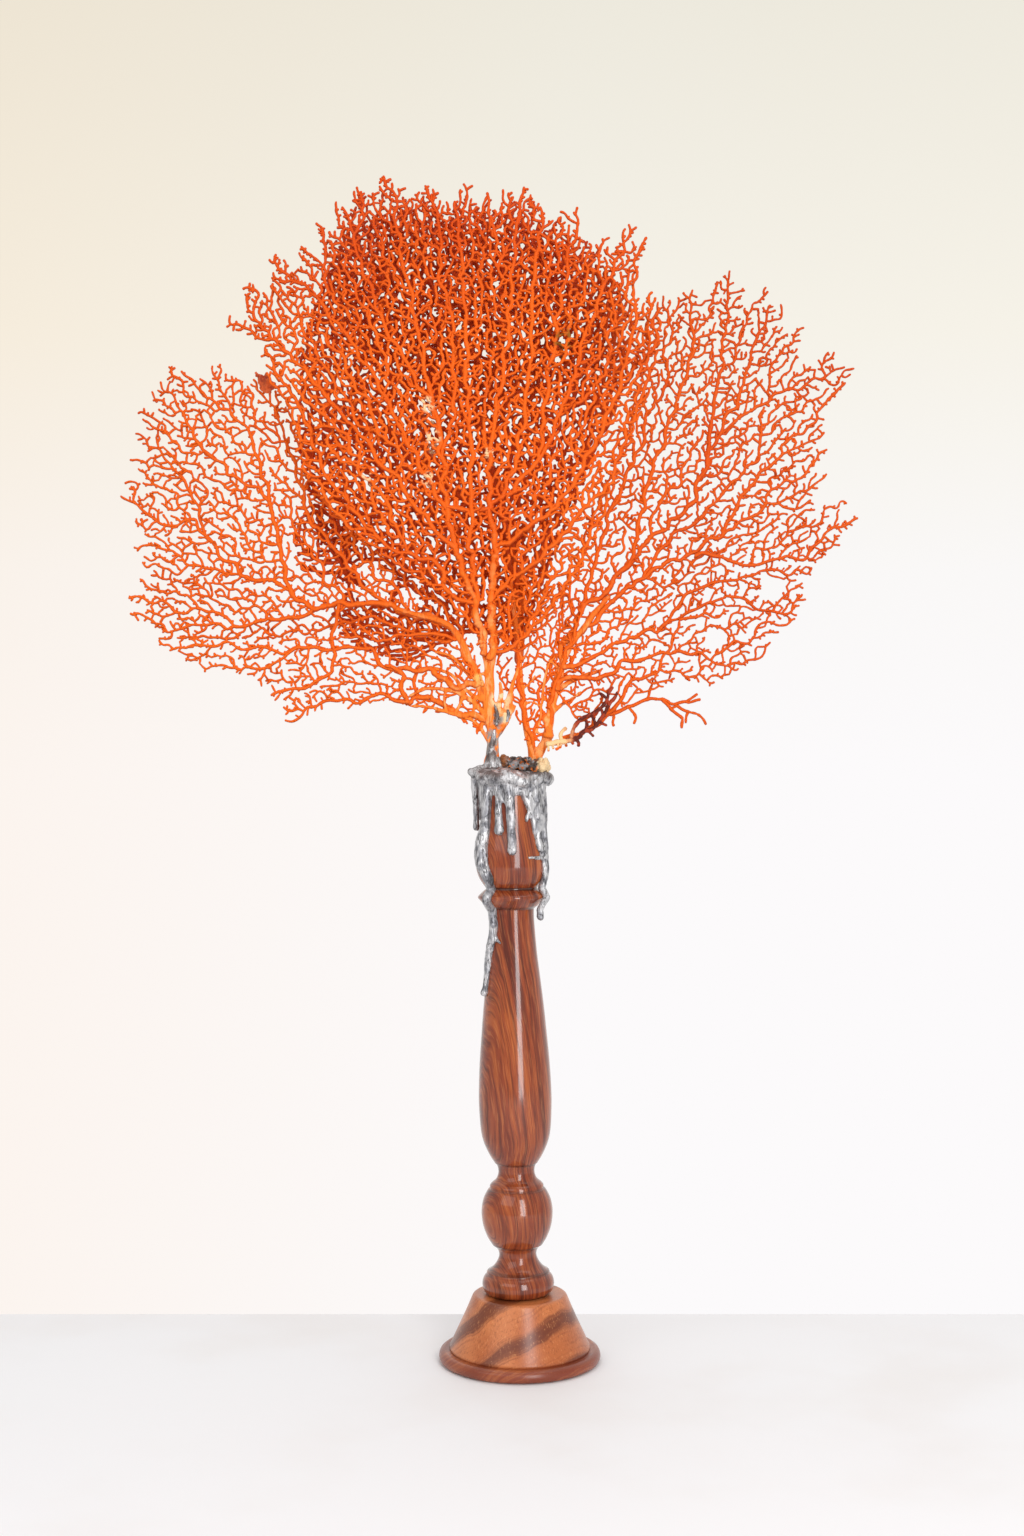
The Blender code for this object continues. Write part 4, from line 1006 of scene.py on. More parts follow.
def plain_finish(name, main, mark, scale, roughness):
    """A matt surface with soft marks of a second colour."""
    skin = Finish(name, {"Specular IOR Level": 0.3})
    marks = skin.noise(skin.place, scale, 4.0)
    fine = skin.noise(skin.place, scale * 9.0, 2.0)
    shade = skin.blend(skin.ease(marks, 0.45, 0.75), main, mark)
    return skin.done(shade, fine * 0.15 + roughness, fine, 0.25, 0.2)


# --- Meshes ---


def add_piece(name, mesh, material, slot, *nodes):
    """Link a piece to the scene, on its body, in place of its nodes; the slot is not used."""
    piece = bpy.data.objects.new(name, mesh)
    bpy.context.scene.collection.objects.link(piece)
    mesh.materials.clear()
    mesh.materials.append(material)
    mesh.shade_smooth()
    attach(piece, BODY)
    if nodes:
        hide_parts(*nodes)
    return piece


def mesh_of(name, shape):
    """A mesh from a shape that is then let go."""
    mesh = bpy.data.meshes.new(name)
    shape.to_mesh(mesh)
    shape.free()
    return mesh


def give_girth(mesh, girth):
    """Note on a mesh how thick its piece is at every point."""
    layer = mesh.attributes.new("girth", "FLOAT", "POINT")
    layer.data.foreach_set("value", np.asarray(girth, np.float32))


def smooth_run(points, step):
    """A smooth curve through points, with one point about every step."""
    points = np.asarray(points, float)
    ends = np.vstack([2 * points[0] - points[1], points, 2 * points[-1] - points[-2]])
    curve = []
    for a, b, c, d in zip(ends, ends[1:], ends[2:], ends[3:]):
        count = max(1, round(float(np.linalg.norm(c[:3] - b[:3])) / step))
        t = np.linspace(0.0, 1.0, count, endpoint=False)[:, None]
        bend = (2 * a - 5 * b + 4 * c - d) * t**2
        curve.append(0.5 * (2 * b + (c - a) * t + bend + (3 * b - a - 3 * c + d) * t**3))
    return np.concatenate(curve + [points[-1:]])


def post_matrix():
    """The lean of the post about its foot."""
    foot = Vector((POST_FOOT_X * MM, 0.0, BASE_HEIGHT * MM))
    lean = Matrix.Rotation(-math.radians(POST_LEAN_DEG), 4, "Y")
    return Matrix.Translation(foot) @ lean @ Matrix.Translation((0.0, 0.0, -BASE_HEIGHT * MM))


def post_radius(height):
    """The post's radius at a height."""
    points = np.array([point for run in POST_RUNS for point in run])
    return float(np.interp(height, points[:, 0], points[:, 1]))


def turned_mesh(name, runs, steps, matrix):
    """Turn a profile about the upright axis; runs meet in sharp edges."""
    shape = bmesh.new()
    rings = []
    sharp = []
    for run in runs:
        curve = smooth_run(run, PROFILE_STEP)
        for height, radius in curve[1:] if rings else curve:
            ring = []
            for step in range(steps):
                angle = step * math.tau / steps
                ring.append(shape.verts.new((
                    radius * math.cos(angle) * MM, radius * math.sin(angle) * MM, height * MM
                )))
            rings.append(ring)
        sharp.append(len(rings) - 1)
    for low, high in zip(rings, rings[1:]):
        for step in range(steps):
            after = (step + 1) % steps
            shape.faces.new((low[step], low[after], high[after], high[step]))
    shape.faces.new(rings[0][::-1])
    shape.faces.new(rings[-1])
    for place in [0] + sharp:
        ring = rings[place]
        for step in range(steps):
            shape.edges.get((ring[step], ring[step - 1])).smooth = False
    shape.transform(matrix)
    bmesh.ops.recalc_face_normals(shape, faces=shape.faces)
    return mesh_of(name, shape)


class Tubes:
    """Closed tubes with rounded tips, gathered into one mesh."""

    def __init__(self):
        self.points = []
        self.faces = []
        self.girth = []
        self.count = 0

    def add(self, path, radii, sides, squash=1.0):
        """One tube along a path of millimetre points."""
        path = np.asarray(path, float)
        radii = np.asarray(radii, float)
        heading = np.gradient(path, axis=0)
        heading /= np.linalg.norm(heading, axis=1)[:, None] + 1e-9
        path = np.vstack([path, path[-1] + heading[-1] * radii[-1] * 0.7])
        radii = np.append(radii, radii[-1] * 0.6)
        heading = np.vstack([heading, heading[-1]])
        side = np.cross(heading, (0.0, 1.0, 0.0))
        size = np.linalg.norm(side, axis=1)
        side[size < 1e-3] = (1.0, 0.0, 0.0)
        side /= np.linalg.norm(side, axis=1)[:, None]
        lift = np.cross(side, heading)
        turn = np.arange(sides) * math.tau / sides
        ring = (
            np.cos(turn)[None, :, None] * side[:, None]
            + squash * np.sin(turn)[None, :, None] * lift[:, None]
        )
        self.points.append((path[:, None] + radii[:, None, None] * ring).reshape(-1, 3))
        self.girth.append(np.repeat(radii, sides))
        first = self.count
        for row in range(first, first + (len(path) - 1) * sides, sides):
            for k in range(sides):
                after = (k + 1) % sides
                self.faces.append((row + k, row + sides + k, row + sides + after, row + after))
        last = first + (len(path) - 1) * sides
        self.faces.append(tuple(range(first, first + sides)))
        self.faces.append(tuple(range(last + sides - 1, last - 1, -1)))
        self.count += len(path) * sides

    def add_flat(self, route, step, depth, squash):
        """One tube along (x, z, radius) points that lie at one depth."""
        curve = smooth_run(route, step)
        path = np.stack([curve[:, 0], np.full(len(curve), depth), curve[:, 1]], 1)
        self.add(path, curve[:, 2], TUBE_SIDES, squash)

    def mesh(self, name):
        """The gathered tubes as a mesh that knows how thick it is at every point."""
        mesh = bpy.data.meshes.new(name)
        mesh.from_pydata(np.concatenate(self.points) * MM, [], self.faces)
        give_girth(mesh, np.concatenate(self.girth))
        mesh.update()
        return mesh


def fused_mesh(name, mesh, grain, rounds, girth):
    """Melt a mesh of overlapping parts into one skin."""
    holder = bpy.data.objects.new(name + "_parts", mesh)
    bpy.context.scene.collection.objects.link(holder)
    melt = holder.modifiers.new("Melt", "REMESH")
    melt.mode = "VOXEL"
    melt.voxel_size = grain
    relax = holder.modifiers.new("Relax", "SMOOTH")
    relax.factor = 0.5
    relax.iterations = rounds
    fused = bpy.data.meshes.new_from_object(
        holder.evaluated_get(bpy.context.evaluated_depsgraph_get())
    )
    fused.name = name
    bpy.data.objects.remove(holder, do_unlink=True)
    for layer in [layer for layer in fused.attributes if layer.name == "girth"]:
        fused.attributes.remove(layer)
    give_girth(fused, np.full(len(fused.vertices), girth))
    return fused


def roughen(mesh, size, depth, stretch=1.0):
    """Push a skin in and out along its normals, with marks drawn out upwards by stretch."""
    normals = [vertex.normal.copy() for vertex in mesh.vertices]
    for vertex, normal in zip(mesh.vertices, normals):
        place = Vector((vertex.co.x, vertex.co.y, vertex.co.z / stretch)) / (size * MM)
        vertex.co += normal * noise.noise(place) * depth * MM
    mesh.update()


# --- Coral ---


def inside(points, outline):
    """Which points lie inside a closed outline."""
    found = np.zeros(len(points), bool)
    for (x0, z0), (x1, z1) in zip(outline, outline[1:] + outline[:1]):
        if z0 == z1:
            continue
        crosses = (z0 > points[:, 1]) != (z1 > points[:, 1])
        at = (x1 - x0) * (points[:, 1] - z0) / (z1 - z0) + x0
        found ^= crosses & (points[:, 0] < at)
    return found


def covered(points):
    """Which points lie inside any lobe."""
    found = np.zeros(len(points), bool)
    for lobe in LOBES:
        found |= inside(points, lobe.outline)
    return found


def pushed(points, share):
    """Points moved straight out from the coral's foot."""
    foot = np.array(CORAL_FOOT)
    return foot + (points - foot) * share


def unit(vectors):
    """Vectors of length one."""
    return vectors / (np.linalg.norm(vectors, axis=-1, keepdims=True) + 1e-9)


def fan_depth(lobe, x, z):
    """Depth of a lobe's sheet: it leaves the trunks and spreads to its own layer."""
    away = np.minimum(np.hypot(x - CORAL_FOOT[0], z - CORAL_FOOT[1]) / SPREAD_DISTANCE, 1.0)
    ease = away * away * (3.0 - 2.0 * away)
    ripple = RIPPLE * ease * np.sin(x / RIPPLE_X + lobe.seed) * np.cos(z / RIPPLE_Z)
    return lobe.near + (lobe.far - lobe.near) * ease + ripple


class Net:
    """A branching tree of short steps in the plane of the fan."""

    def __init__(self, seed, step):
        self.chance = np.random.default_rng(seed)
        self.step = step
        self.points = np.zeros((0, 2))
        self.parents = np.zeros(0, int)
        self.limb = np.zeros(0)
        self.children = np.zeros(0, int)

    def append(self, points, parents, limb):
        """Add points with the points that they grow from; gives the first new number."""
        first = len(self.points)
        self.points = np.vstack([self.points, points])
        self.parents = np.append(self.parents, parents)
        self.limb = np.append(self.limb, limb)
        self.children = np.append(self.children, np.zeros(len(points), int))
        grown = np.asarray(parents)
        np.add.at(self.children, grown[grown >= 0], 1)
        return first

    def nearest(self, point):
        """The nearest point so far and its distance."""
        gaps = np.linalg.norm(self.points - point, axis=1)
        return int(gaps.argmin()), float(gaps.min())

    def add_limb(self, limb):
        """Lay a wandering limb, joined to the one it starts on."""
        path = smooth_run(limb.points, self.step)
        wander = self.chance.normal(0.0, 1.0, path.shape)
        window = np.hanning(WANDER_WINDOW)[1:-1]
        window /= window.sum()
        for axis in (0, 1):
            wander[:, axis] = np.convolve(wander[:, axis], window, "same")[:len(path)]
        settle = np.minimum(np.arange(len(path)) / 4.0, 1.0)[:, None]
        path = path + wander * settle * LIMB_WANDER
        fade = np.exp(-self.step * np.arange(len(path)) / LIMB_TAPER)
        radii = LIMB_END + (limb.radius - LIMB_END) * fade
        last = -1
        if len(self.points):
            host, gap = self.nearest(path[0])
            if gap < LIMB_JOIN:
                last = host
                path, radii = path[1:], radii[1:]
        for point, radius in zip(path, radii):
            last = self.append(point[None], [last], [radius])

    def course(self, numbers):
        """The way points head from the ones that they grew from."""
        return unit(self.points[numbers] - self.points[self.parents[numbers]])

    def headings(self, numbers):
        """The way each point heads, and the way out from the coral's foot."""
        outward = unit(self.points[numbers] - np.array(CORAL_FOOT))
        along = self.course(numbers)
        rootless = self.parents[numbers] < 0
        along[rootless] = outward[rootless]
        return along, outward

    def grow(self, targets, reach):
        """Send twigs out towards the targets, from the foot of the fan to its rim."""
        due = np.linalg.norm(targets - np.array(CORAL_FOOT), axis=1)
        due = due + self.chance.normal(0.0, DUE_SPREAD * self.step, len(targets))
        closest = np.full(len(targets), np.inf)
        owner = np.zeros(len(targets), int)
        misses = np.zeros(len(targets), int)

        def measure(first):
            for start in range(first, len(self.points), 200):
                block = self.points[start:start + 200]
                gaps = ((targets[:, None] - block[None]) ** 2).sum(2)
                pick = gaps.argmin(1)
                gap = np.sqrt(gaps[np.arange(len(targets)), pick])
                better = gap < closest
                closest[better] = gap[better]
                owner[better] = pick[better] + start

        measure(0)
        front = due.min()
        last = due.max()
        while len(targets):
            waiting = closest > reach
            targets, due, closest = targets[waiting], due[waiting], closest[waiting]
            owner, misses = owner[waiting], misses[waiting]
            front += FRONT_SPEED * self.step
            active = np.flatnonzero((due < front) & (closest < SIGHT * reach))
            if not len(active):
                if front > last:
                    break
                continue
            numbers, group = np.unique(owner[active], return_inverse=True)
            along, outward = self.headings(numbers)
            pull = unit(targets[active] - self.points[owner[active]])
            left = along[group][:, 0] * pull[:, 1] - along[group][:, 1] * pull[:, 0] > 0
            votes = np.zeros((len(numbers), 2))
            np.add.at(votes, (group, left.astype(int)), 1)
            forked = self.children[numbers] > 0
            used = ~forked[group] | (left == (votes[:, 1] > votes[:, 0])[group])
            behind = (pull * outward[group]).sum(1) < BACKWARD
            used &= ~behind
            heading = np.zeros((len(numbers), 2))
            np.add.at(heading, group[used], pull[used])
            pulled = np.linalg.norm(heading, axis=1) > 1e-6
            heading = unit(heading) + OUTWARD * outward + INERTIA * along * ~forked[:, None]
            heading = unit(heading + self.chance.normal(0.0, JITTER, heading.shape))
            fresh = self.points[numbers] + heading * self.step
            room = pulled & (self.children[numbers] < 2 + (self.limb[numbers] > 0))
            room &= self.spare(fresh, self.points) > CLEARANCE * self.step
            among = np.linalg.norm(fresh[:, None] - fresh[None], axis=2)
            among[np.triu_indices(len(fresh))] = np.inf
            room &= among.min(1) > CLEARANCE * self.step
            misses[active[behind | used & ~room[group]]] += 1
            kept = misses < PATIENCE
            targets, due, closest = targets[kept], due[kept], closest[kept]
            owner, misses = owner[kept], misses[kept]
            if room.any():
                measure(self.append(fresh[room], numbers[room], np.zeros(room.sum())))

    def spare(self, fresh, points):
        """Distance from each fresh point to the nearest point there is."""
        spare = np.full(len(fresh), np.inf)
        for start in range(0, len(points), 5000):
            gaps = ((fresh[:, None] - points[None, start:start + 5000]) ** 2).sum(2)
            spare = np.minimum(spare, np.sqrt(gaps.min(1)))
        return spare

    def add_stubs(self):
        """Short side twigs, as many of the real ones end after a step or two."""
        sprouting = (self.children == 1) & (self.parents >= 0)
        sprouting &= self.chance.random(len(self.points)) < STUB_CHANCE
        for number in np.flatnonzero(sprouting):
            along = self.course(number)
            turn = self.chance.choice((-1, 1)) * self.chance.uniform(*STUB_TURN)
            last = number
            for step in range(self.chance.integers(*STUB_STEPS)):
                heading = rotated(along, turn)
                tip = self.points[last] + heading * self.step
                beyond = tip + heading * self.step * STUB_LOOK
                gaps = np.linalg.norm(self.points - beyond, axis=1)
                gaps[last] = np.inf
                if step == 0:
                    gaps[self.parents[number]] = np.inf
                    gaps[self.parents == number] = np.inf
                if gaps.min() < STUB_ROOM:
                    break
                last = self.append(tip[None], [last], [0.0])
                turn += self.chance.normal(0.0, STUB_BEND)

    def joins(self):
        """Twig ends that run into the twig ahead of them: end number to host number."""
        found = {}
        within = covered(pushed(self.points, RIM_SHARE))
        for number in np.flatnonzero((self.children == 0) & within):
            if self.parents[number] < 0 or self.chance.random() > JOIN_CHANCE:
                continue
            along = self.course(number)
            ways = self.points - self.points[number]
            gaps = np.linalg.norm(ways, axis=1)
            ahead = (gaps < JOIN_REACH) & (gaps > JOIN_LEAST * self.step)
            ahead &= ways @ along > JOIN_AHEAD * gaps
            elder = number
            for _ in range(JOIN_KIN):
                elder = self.parents[elder]
                if elder < 0:
                    break
                ahead[elder] = False
            if ahead.any():
                hosts = np.flatnonzero(ahead)
                found[number] = int(hosts[gaps[hosts].argmin()])
        return found

    def loads(self):
        """How many twig ends each point carries."""
        depth = np.zeros(len(self.points), int)
        for number, parent in enumerate(self.parents):
            depth[number] = 0 if parent < 0 else depth[parent] + 1
        load = np.zeros(len(self.points))
        for number in np.argsort(-depth, kind="stable"):
            load[number] = max(load[number], 1.0)
            if self.parents[number] >= 0:
                load[self.parents[number]] += load[number]
        return load

    def runs(self, load):
        """Split the tree into runs, each from the point it leaves to a twig end."""
        followers = [[] for _ in self.points]
        heads = []
        for number, parent in enumerate(self.parents):
            if parent < 0:
                heads.append([number])
            else:
                followers[parent].append(number)
        runs = []
        while heads:
            run = heads.pop(0)
            while followers[run[-1]]:
                ordered = sorted(followers[run[-1]], key=lambda child: -load[child])
                heads += [[run[-1], child] for child in ordered[1:]]
                run.append(ordered[0])
            runs.append(run)
        return runs


def rotated(vector, angle):
    """A flat vector turned by an angle."""
    cosine, sine = math.cos(angle), math.sin(angle)
    return np.array([vector[0] * cosine - vector[1] * sine, vector[0] * sine + vector[1] * cosine])


def net_tubes(net, lobe, joins):
    """Flesh out a net: thick limbs, twigs that swell at forks and wander out of the sheet."""
    load = net.loads()
    runs = net.runs(load)
    away = np.hypot(net.points[:, 0] - CORAL_FOOT[0], net.points[:, 1] - CORAL_FOOT[1])
    slim = 1.0 - RIM_SLIM * np.clip((away - RIM_FROM) / RIM_WIDTH, 0.0, 1.0)
    radii = np.maximum((lobe.twig + TWIG_GAIN * np.sqrt(load)) * slim, net.limb)
    radii *= 1.0 + FORK_SWELL * (net.children > 1)
    radii *= 1.0 + GIRTH_SPREAD * net.chance.standard_normal(len(radii))
    flat = net.points.copy()
    for run in runs:
        inner = run[1:-1]
        flat[inner] = 0.5 * net.points[inner] + 0.25 * (net.points[run[:-2]] + net.points[run[2:]])
    offset = np.zeros(len(flat))
    tubes = Tubes()
    for run in runs:
        limb = net.limb[run[-1]] > 0
        slope = 0.0 if limb else net.chance.normal(0.0, SLOPE_SPREAD)
        distance = np.arange(len(run)) * net.step
        rise = offset[run[0]] * np.exp(-distance / RISE_FADE) + slope * distance
        offset[run[1:]] = np.clip(rise[1:], -RISE_MOST, RISE_MOST)
        place = list(run)
        girth = radii[run].copy()
        if net.parents[run[0]] >= 0 or len(run) > 1 and net.parents[run[1]] == run[0]:
            if len(run) > 1:
                girth[0] = min(radii[run[0]] * FORK_SHARE, girth[1] * FORK_MOST)
        if run[-1] in joins:
            place.append(joins[run[-1]])
            girth = np.append(girth, girth[-1])
        x, z = flat[place, 0], flat[place, 1]
        y = fan_depth(lobe, x, z) + offset[place]
        if len(place) > 1:
            thin, thick = BACK_SIDES if lobe.far > BEHIND else FRONT_SIDES
            tubes.add(np.stack([x, y, z], 1), girth, thick if girth.max() > THICK_FROM else thin)
    return tubes


def grow_lobe(lobe, settings):
    """Grow one lobe's limbs and twigs out to its outline."""
    step = settings.step / MM
    net = Net(lobe.seed, step)
    for limb in lobe.limbs:
        net.add_limb(limb)
    spacing = settings.cell / MM * lobe.spacing
    corners = np.array(lobe.outline, float)
    low, high = corners.min(0), corners.max(0)
    across, up = np.meshgrid(
        np.arange(low[0], high[0], spacing), np.arange(low[1], high[1], spacing)
    )
    targets = np.stack([across.ravel(), up.ravel()], 1)
    targets += net.chance.uniform(-0.5, 0.5, targets.shape) * spacing
    targets = targets[inside(targets, lobe.outline)]
    targets = targets[net.chance.random(len(targets)) > THINNED]
    angle = np.arctan2(targets[:, 0] - CORAL_FOOT[0], targets[:, 1] - CORAL_FOOT[1])
    notch = 0.5 + 0.5 * np.sin(NOTCH_RATE * angle + 2.0 * np.sin(NOTCH_SWAY * angle + lobe.seed))
    targets = targets[covered(pushed(targets, 1.0 + NOTCH * notch[:, None]))]
    for x, z, radius in lobe.gaps:
        targets = targets[np.hypot(targets[:, 0] - x, targets[:, 1] - z) > radius]
    net.grow(targets, TARGET_REACH * lobe.spacing)
    net.add_stubs()
    return net_tubes(net, lobe, net.joins())


def spray(limbs, depth, step, seed):
    """Small bare sprays without an outline."""
    net = Net(seed, step)
    for limb in limbs:
        net.add_limb(limb)
    lobe = Lobe("spray", [], [], depth, depth, SPRAY_TWIG, 1.0, seed)
    return net_tubes(net, lobe, {})


# --- Operators ---


class SEAFAN_OT_stage(bpy.types.Operator):
    """Add the floor, the pale surround, the lights and the camera"""

    bl_idname = "seafan.stage"
    bl_label = "Stage"

    def execute(self, context):
        scene = context.scene
        settings = scene.fan_stage
        scene.view_settings.view_transform = "Standard"
        shape = bmesh.new()
        bmesh.ops.create_cube(shape, size=1.0)
        bmesh.ops.scale(shape, vec=FLOOR_SIZE, verts=shape.verts)
        bmesh.ops.translate(shape, vec=FLOOR_CENTRE, verts=shape.verts)
        mesh = mesh_of("floor", shape)
        floor = bpy.data.objects.new("floor", mesh)
        scene.collection.objects.link(floor)
        mesh.materials.append(
            plain_finish("floor_paint", settings.floor, srgb(234, 231, 230), 6.0, 0.6)
        )
        self.add_surround(scene, settings)
        for name, share, size, place in LIGHTS:
            self.add_light(scene, name, settings.key_power * share, size, place)
        lens = bpy.data.cameras.new("camera")
        lens.sensor_width = SENSOR
        lens.lens = LENS
        camera = bpy.data.objects.new("camera", lens)
        camera.location = (CAMERA_X, -settings.camera_distance, settings.camera_height)
        camera.rotation_euler = (math.radians(90.0), 0.0, 0.0)
        scene.collection.objects.link(camera)
        scene.camera = camera
        return {"FINISHED"}

    def add_surround(self, scene, settings):
        """A pale surround, warmer overhead and to the left, that lights softly from behind."""
        world = bpy.data.worlds.new("pale_surround")
        world.use_nodes = True
        scene.world = world
        nodes = Nodes(world.node_tree)
        way = nodes.add("ShaderNodeTexCoord", {}, {}, "Generated")
        x = nodes.add("ShaderNodeSeparateXYZ", {}, {0: way})
        wall = nodes.add("ShaderNodeValToRGB", stops(
            (0.0, 252, 250, 251), (0.10, 250, 248, 247), (0.22, 246, 242, 232),
            (0.38, 237, 233, 221),
        ), {0: x.other(2)})
        side = nodes.add("ShaderNodeValToRGB", stops(
            (0.0, 255, 249, 242), (1.0, 255, 255, 255),
        ), {0: x * 3.4 + 0.9})
        wall = nodes.add(
            "ShaderNodeMix", {"data_type": "RGBA", "blend_type": "MULTIPLY"},
            {0: 1.0, 6: wall, 7: side}, 2,
        )
        room = nodes.add("ShaderNodeValToRGB", stops(
            (0.0, 176, 176, 178), (0.5, 208, 207, 206), (1.0, 250, 248, 246),
        ), {0: x.other(1) * 0.5 + 0.5})
        seen = nodes.add("ShaderNodeLightPath", {}, {}, "Is Camera Ray")
        backdrop = world.node_tree.nodes["Background"]
        colour_now = nodes.blend(seen, room, wall)
        world.node_tree.links.new(colour_now.socket, backdrop.inputs["Color"])
        backdrop.inputs["Strength"].default_value = settings.surround

    def add_light(self, scene, name, power, size, place):
        """A soft panel of light aimed at the middle of the object."""
        light = bpy.data.lights.new(name, "AREA")
        light.shape = "RECTANGLE"
        light.size, light.size_y = size
        light.energy = power
        lamp = bpy.data.objects.new(name, light)
        lamp.location = place
        aim = Vector((0.0, 0.0, AIM_HEIGHT)) - lamp.location
        lamp.rotation_euler = aim.to_track_quat("-Z", "Y").to_euler()
        scene.collection.objects.link(lamp)


class SEAFAN_OT_stand(bpy.types.Operator):
    """Turn the wooden base and the post"""

    bl_idname = "seafan.stand"
    bl_label = "Turned stand"

    def execute(self, context):
        settings = context.scene.fan_wood
        steps = settings.turning_steps
        base = turned_mesh("turned_base", BASE_RUNS, steps, Matrix.Identity(4))
        add_piece("turned_base", base, base_finish(settings), "base_wood", "base")
        post = turned_mesh("turned_post", POST_RUNS, steps, post_matrix())
        add_piece("turned_post", post, post_finish(settings), "post_wood", "post")
        return {"FINISHED"}


class SEAFAN_OT_metal(bpy.types.Operator):
    """Pour the metal cap and its runs"""

    bl_idname = "seafan.metal"
    bl_label = "Poured metal"

    def execute(self, context):
        settings = context.scene.fan_metal
        tubes = Tubes()
        for run in METAL_RUNS:
            route = smooth_run(run, 1.0)
            path = []
            for degrees, height, radius, lift in route:
                angle = math.radians(degrees)
                reach = post_radius(height) + radius * RUN_SINK + lift
                local = Vector((reach * math.sin(angle), -reach * math.cos(angle), height))
                path.append((post_matrix() @ (local * MM)) / MM)
            tubes.add(path, route[:, 2], RUN_SIDES)
        for run in METAL_SPLASHES:
            route = smooth_run(run, 1.0)
            tubes.add(route[:, :3], route[:, 3], TUBE_SIDES)
        shape = bmesh.new()
        shape.from_mesh(tubes.mesh("runs"))
        rim = turned_mesh("rim", [RIM_PROFILE], RIM_SIDES, Matrix.Identity(4))
        for vertex in rim.vertices:
            angle = math.atan2(vertex.co.y, vertex.co.x)
            wave = math.sin(3 * angle + 0.6) + 0.7 * math.sin(5 * angle + 2.1)
            swell = 1.0 + RIM_SWELL * wave
            lump = 1.0 + RIM_LUMP * noise.noise(vertex.co * RIM_LUMP_RATE)
            vertex.co.x *= swell * lump
            vertex.co.y *= swell * lump
            if vertex.co.z > RIM_DIP_FROM:
                vertex.co.z -= RIM_DIP * math.cos(angle + math.pi / 4)
                vertex.co.z -= RIM_WAVE * math.sin(5 * angle + 0.9)
        rim.transform(post_matrix())
        shape.from_mesh(rim)
        parts = mesh_of("metal_parts", shape)
        cap = fused_mesh("poured_cap", parts, settings.grain, rounds=6, girth=1.0)
        roughen(cap, size=2.6, depth=0.55, stretch=4.0)
        roughen(cap, size=1.1, depth=0.22, stretch=2.0)
        add_piece("poured_cap", cap, metal_finish(settings), "poured_metal", "drip_cap")
        return {"FINISHED"}


class SEAFAN_OT_crust(bpy.types.Operator):
    """Heap the crust at the foot of the coral"""

    bl_idname = "seafan.crust"
    bl_label = "Holdfast crust"

    def execute(self, context):
        shape = bmesh.new()
        for x, y, z, wide, deep, tall in CRUST_LUMPS:
            size = Matrix.Diagonal((wide * MM, deep * MM, tall * MM, 1.0))
            place = Matrix.Translation(Vector((x, y, z)) * MM) @ size
            bmesh.ops.create_icosphere(shape, subdivisions=3, radius=1.0, matrix=place)
        parts = mesh_of("crust_parts", shape)
        crust = fused_mesh("crust", parts, CRUST_GRAIN, rounds=2, girth=1.0)
        roughen(crust, size=2.2, depth=1.1)
        roughen(crust, size=0.9, depth=0.5)
        add_piece("crust", crust, crust_finish(), "crust", "holdfast_crust")
        return {"FINISHED"}


class SEAFAN_OT_trunks(bpy.types.Operator):
    """Fuse the two bare trunks"""

    bl_idname = "seafan.trunks"
    bl_label = "Trunks"

    def execute(self, context):
        settings = context.scene.fan_coral
        skin = coral_finish("trunk_coral", settings)
        for trunk, slot in zip(TRUNKS, ("stem_coral", "fan_coral")):
            tubes = Tubes()
            for route in trunk.tubes:
                tubes.add_flat(route, step=1.5, depth=trunk.near, squash=0.85)
            parts = tubes.mesh("parts")
            mesh = fused_mesh(trunk.name, parts, settings.fusing, rounds=4, girth=2.6)
            roughen(mesh, size=2.0, depth=0.5, stretch=4.0)
            add_piece(trunk.name, mesh, skin, slot, trunk.node)
        return {"FINISHED"}


class SEAFAN_OT_lobes(bpy.types.Operator):
    """Grow the lobes of the fan"""

    bl_idname = "seafan.lobes"
    bl_label = "Fan lobes"

    def execute(self, context):
        settings = context.scene.fan_coral
        front = coral_finish("fan_coral", settings)
        # The sheets behind take a copy of the coral with painted shadow from the front net.
        behind = coral_finish("back_coral", settings, shaded=True)
        for lobe in LOBES:
            mesh = grow_lobe(lobe, settings).mesh(lobe.name + "_net")
            back = lobe.far > BEHIND
            slot = "back_coral" if back else "fan_coral"
            nodes = [lobe.name] if lobe.name in frame["nodes"] else []
            add_piece(lobe.name + "_net", mesh, behind if back else front, slot, *nodes)
        return {"FINISHED"}


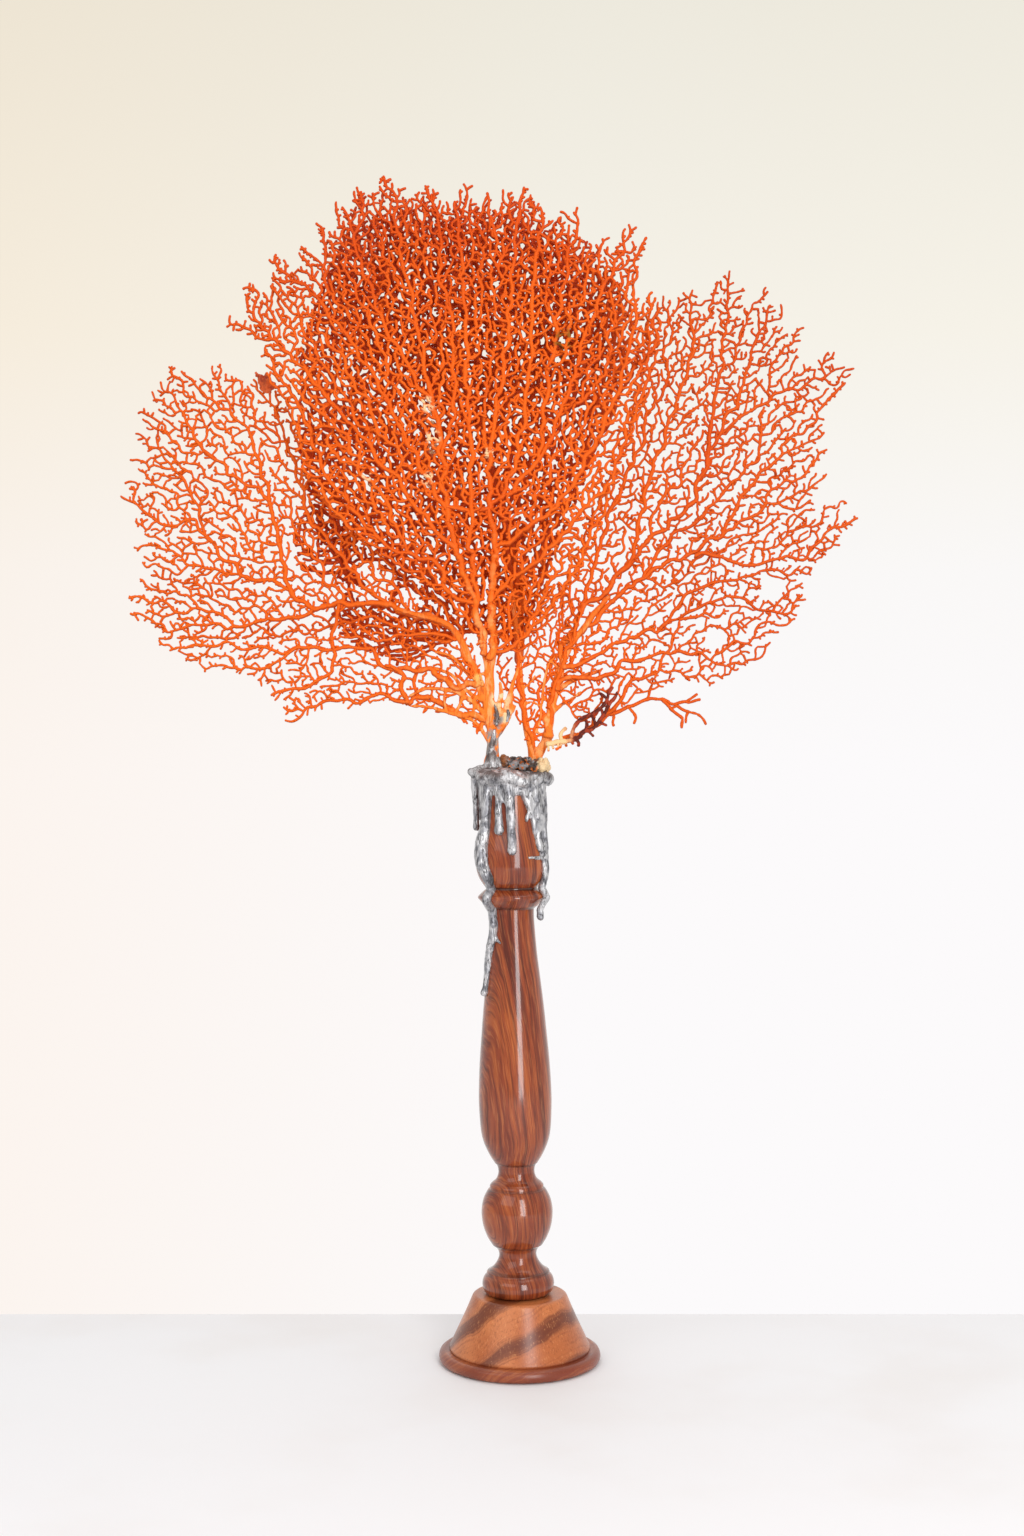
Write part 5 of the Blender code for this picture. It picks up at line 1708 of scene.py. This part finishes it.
class SEAFAN_OT_sprays(bpy.types.Operator):
    """Add the low sprig, the folded strip and the shell crust"""

    bl_idname = "seafan.sprays"
    bl_label = "Sprays and shell"

    def execute(self, context):
        settings = context.scene.fan_coral
        step = settings.step / MM
        sprig = spray(SPRIG, SPRIG_DEPTH, step, SPRIG_SEED).mesh("low_sprig")
        coral = coral_finish("sprig_coral", settings)
        add_piece("low_sprig", sprig, coral, "fan_coral", "lower_sprig")
        strip = spray(STRIP, STRIP_DEPTH, step, STRIP_SEED).mesh("dark_strip")
        add_piece("dark_strip", strip, strip_finish(settings), "back_coral", "folded_strip")
        tubes = Tubes()
        for route in SHELL_RUNS:
            tubes.add_flat(route, step=0.8, depth=SHELL_DEPTH, squash=0.6)
        parts = tubes.mesh("shell_parts")
        mesh = fused_mesh("shell_crust", parts, SHELL_GRAIN, rounds=2, girth=2.0)
        roughen(mesh, size=2.4, depth=0.8)
        roughen(mesh, size=0.9, depth=0.3)
        shell = plain_finish("shell_crust_skin", srgb(214, 96, 40), srgb(150, 48, 20), 190.0, 0.5)
        add_piece("shell_crust", mesh, shell, "knob_shell", "shell_knob")
        return {"FINISHED"}


class SEAFAN_PT_panel(bpy.types.Panel):
    """Lists the pieces of the sea fan"""

    bl_idname = "SEAFAN_PT_panel"
    bl_label = "Sea fan"
    bl_space_type = "VIEW_3D"
    bl_region_type = "UI"
    bl_category = "Sea fan"

    def draw(self, context):
        for operator in OPERATORS:
            self.layout.operator(operator.bl_idname)
        for name in SETTINGS:
            box = self.layout.box()
            for setting in getattr(context.scene, name).bl_rna.properties:
                if setting.identifier not in ("rna_type", "name"):
                    box.prop(getattr(context.scene, name), setting.identifier)


OPERATORS = (
    SEAFAN_OT_stage, SEAFAN_OT_stand, SEAFAN_OT_metal, SEAFAN_OT_crust, SEAFAN_OT_trunks,
    SEAFAN_OT_lobes, SEAFAN_OT_sprays,
)


def register():
    """Register the settings, the operators and the panel."""
    for name, settings in SETTINGS.items():
        bpy.utils.register_class(settings)
        setattr(bpy.types.Scene, name, PointerProperty(type=settings))
    for kind in OPERATORS + (SEAFAN_PT_panel,):
        bpy.utils.register_class(kind)


def unregister():
    """Undo register, last first."""
    for kind in (SEAFAN_PT_panel,) + OPERATORS[::-1]:
        bpy.utils.unregister_class(kind)
    for name, settings in SETTINGS.items():
        delattr(bpy.types.Scene, name)
        bpy.utils.unregister_class(settings)


def main():
    """Build every piece in order."""
    register()
    bpy.ops.seafan.stage()
    bpy.ops.seafan.stand()
    bpy.ops.seafan.metal()
    bpy.ops.seafan.crust()
    bpy.ops.seafan.trunks()
    bpy.ops.seafan.lobes()
    bpy.ops.seafan.sprays()
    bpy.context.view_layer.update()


if __name__ == "__main__":
    main()
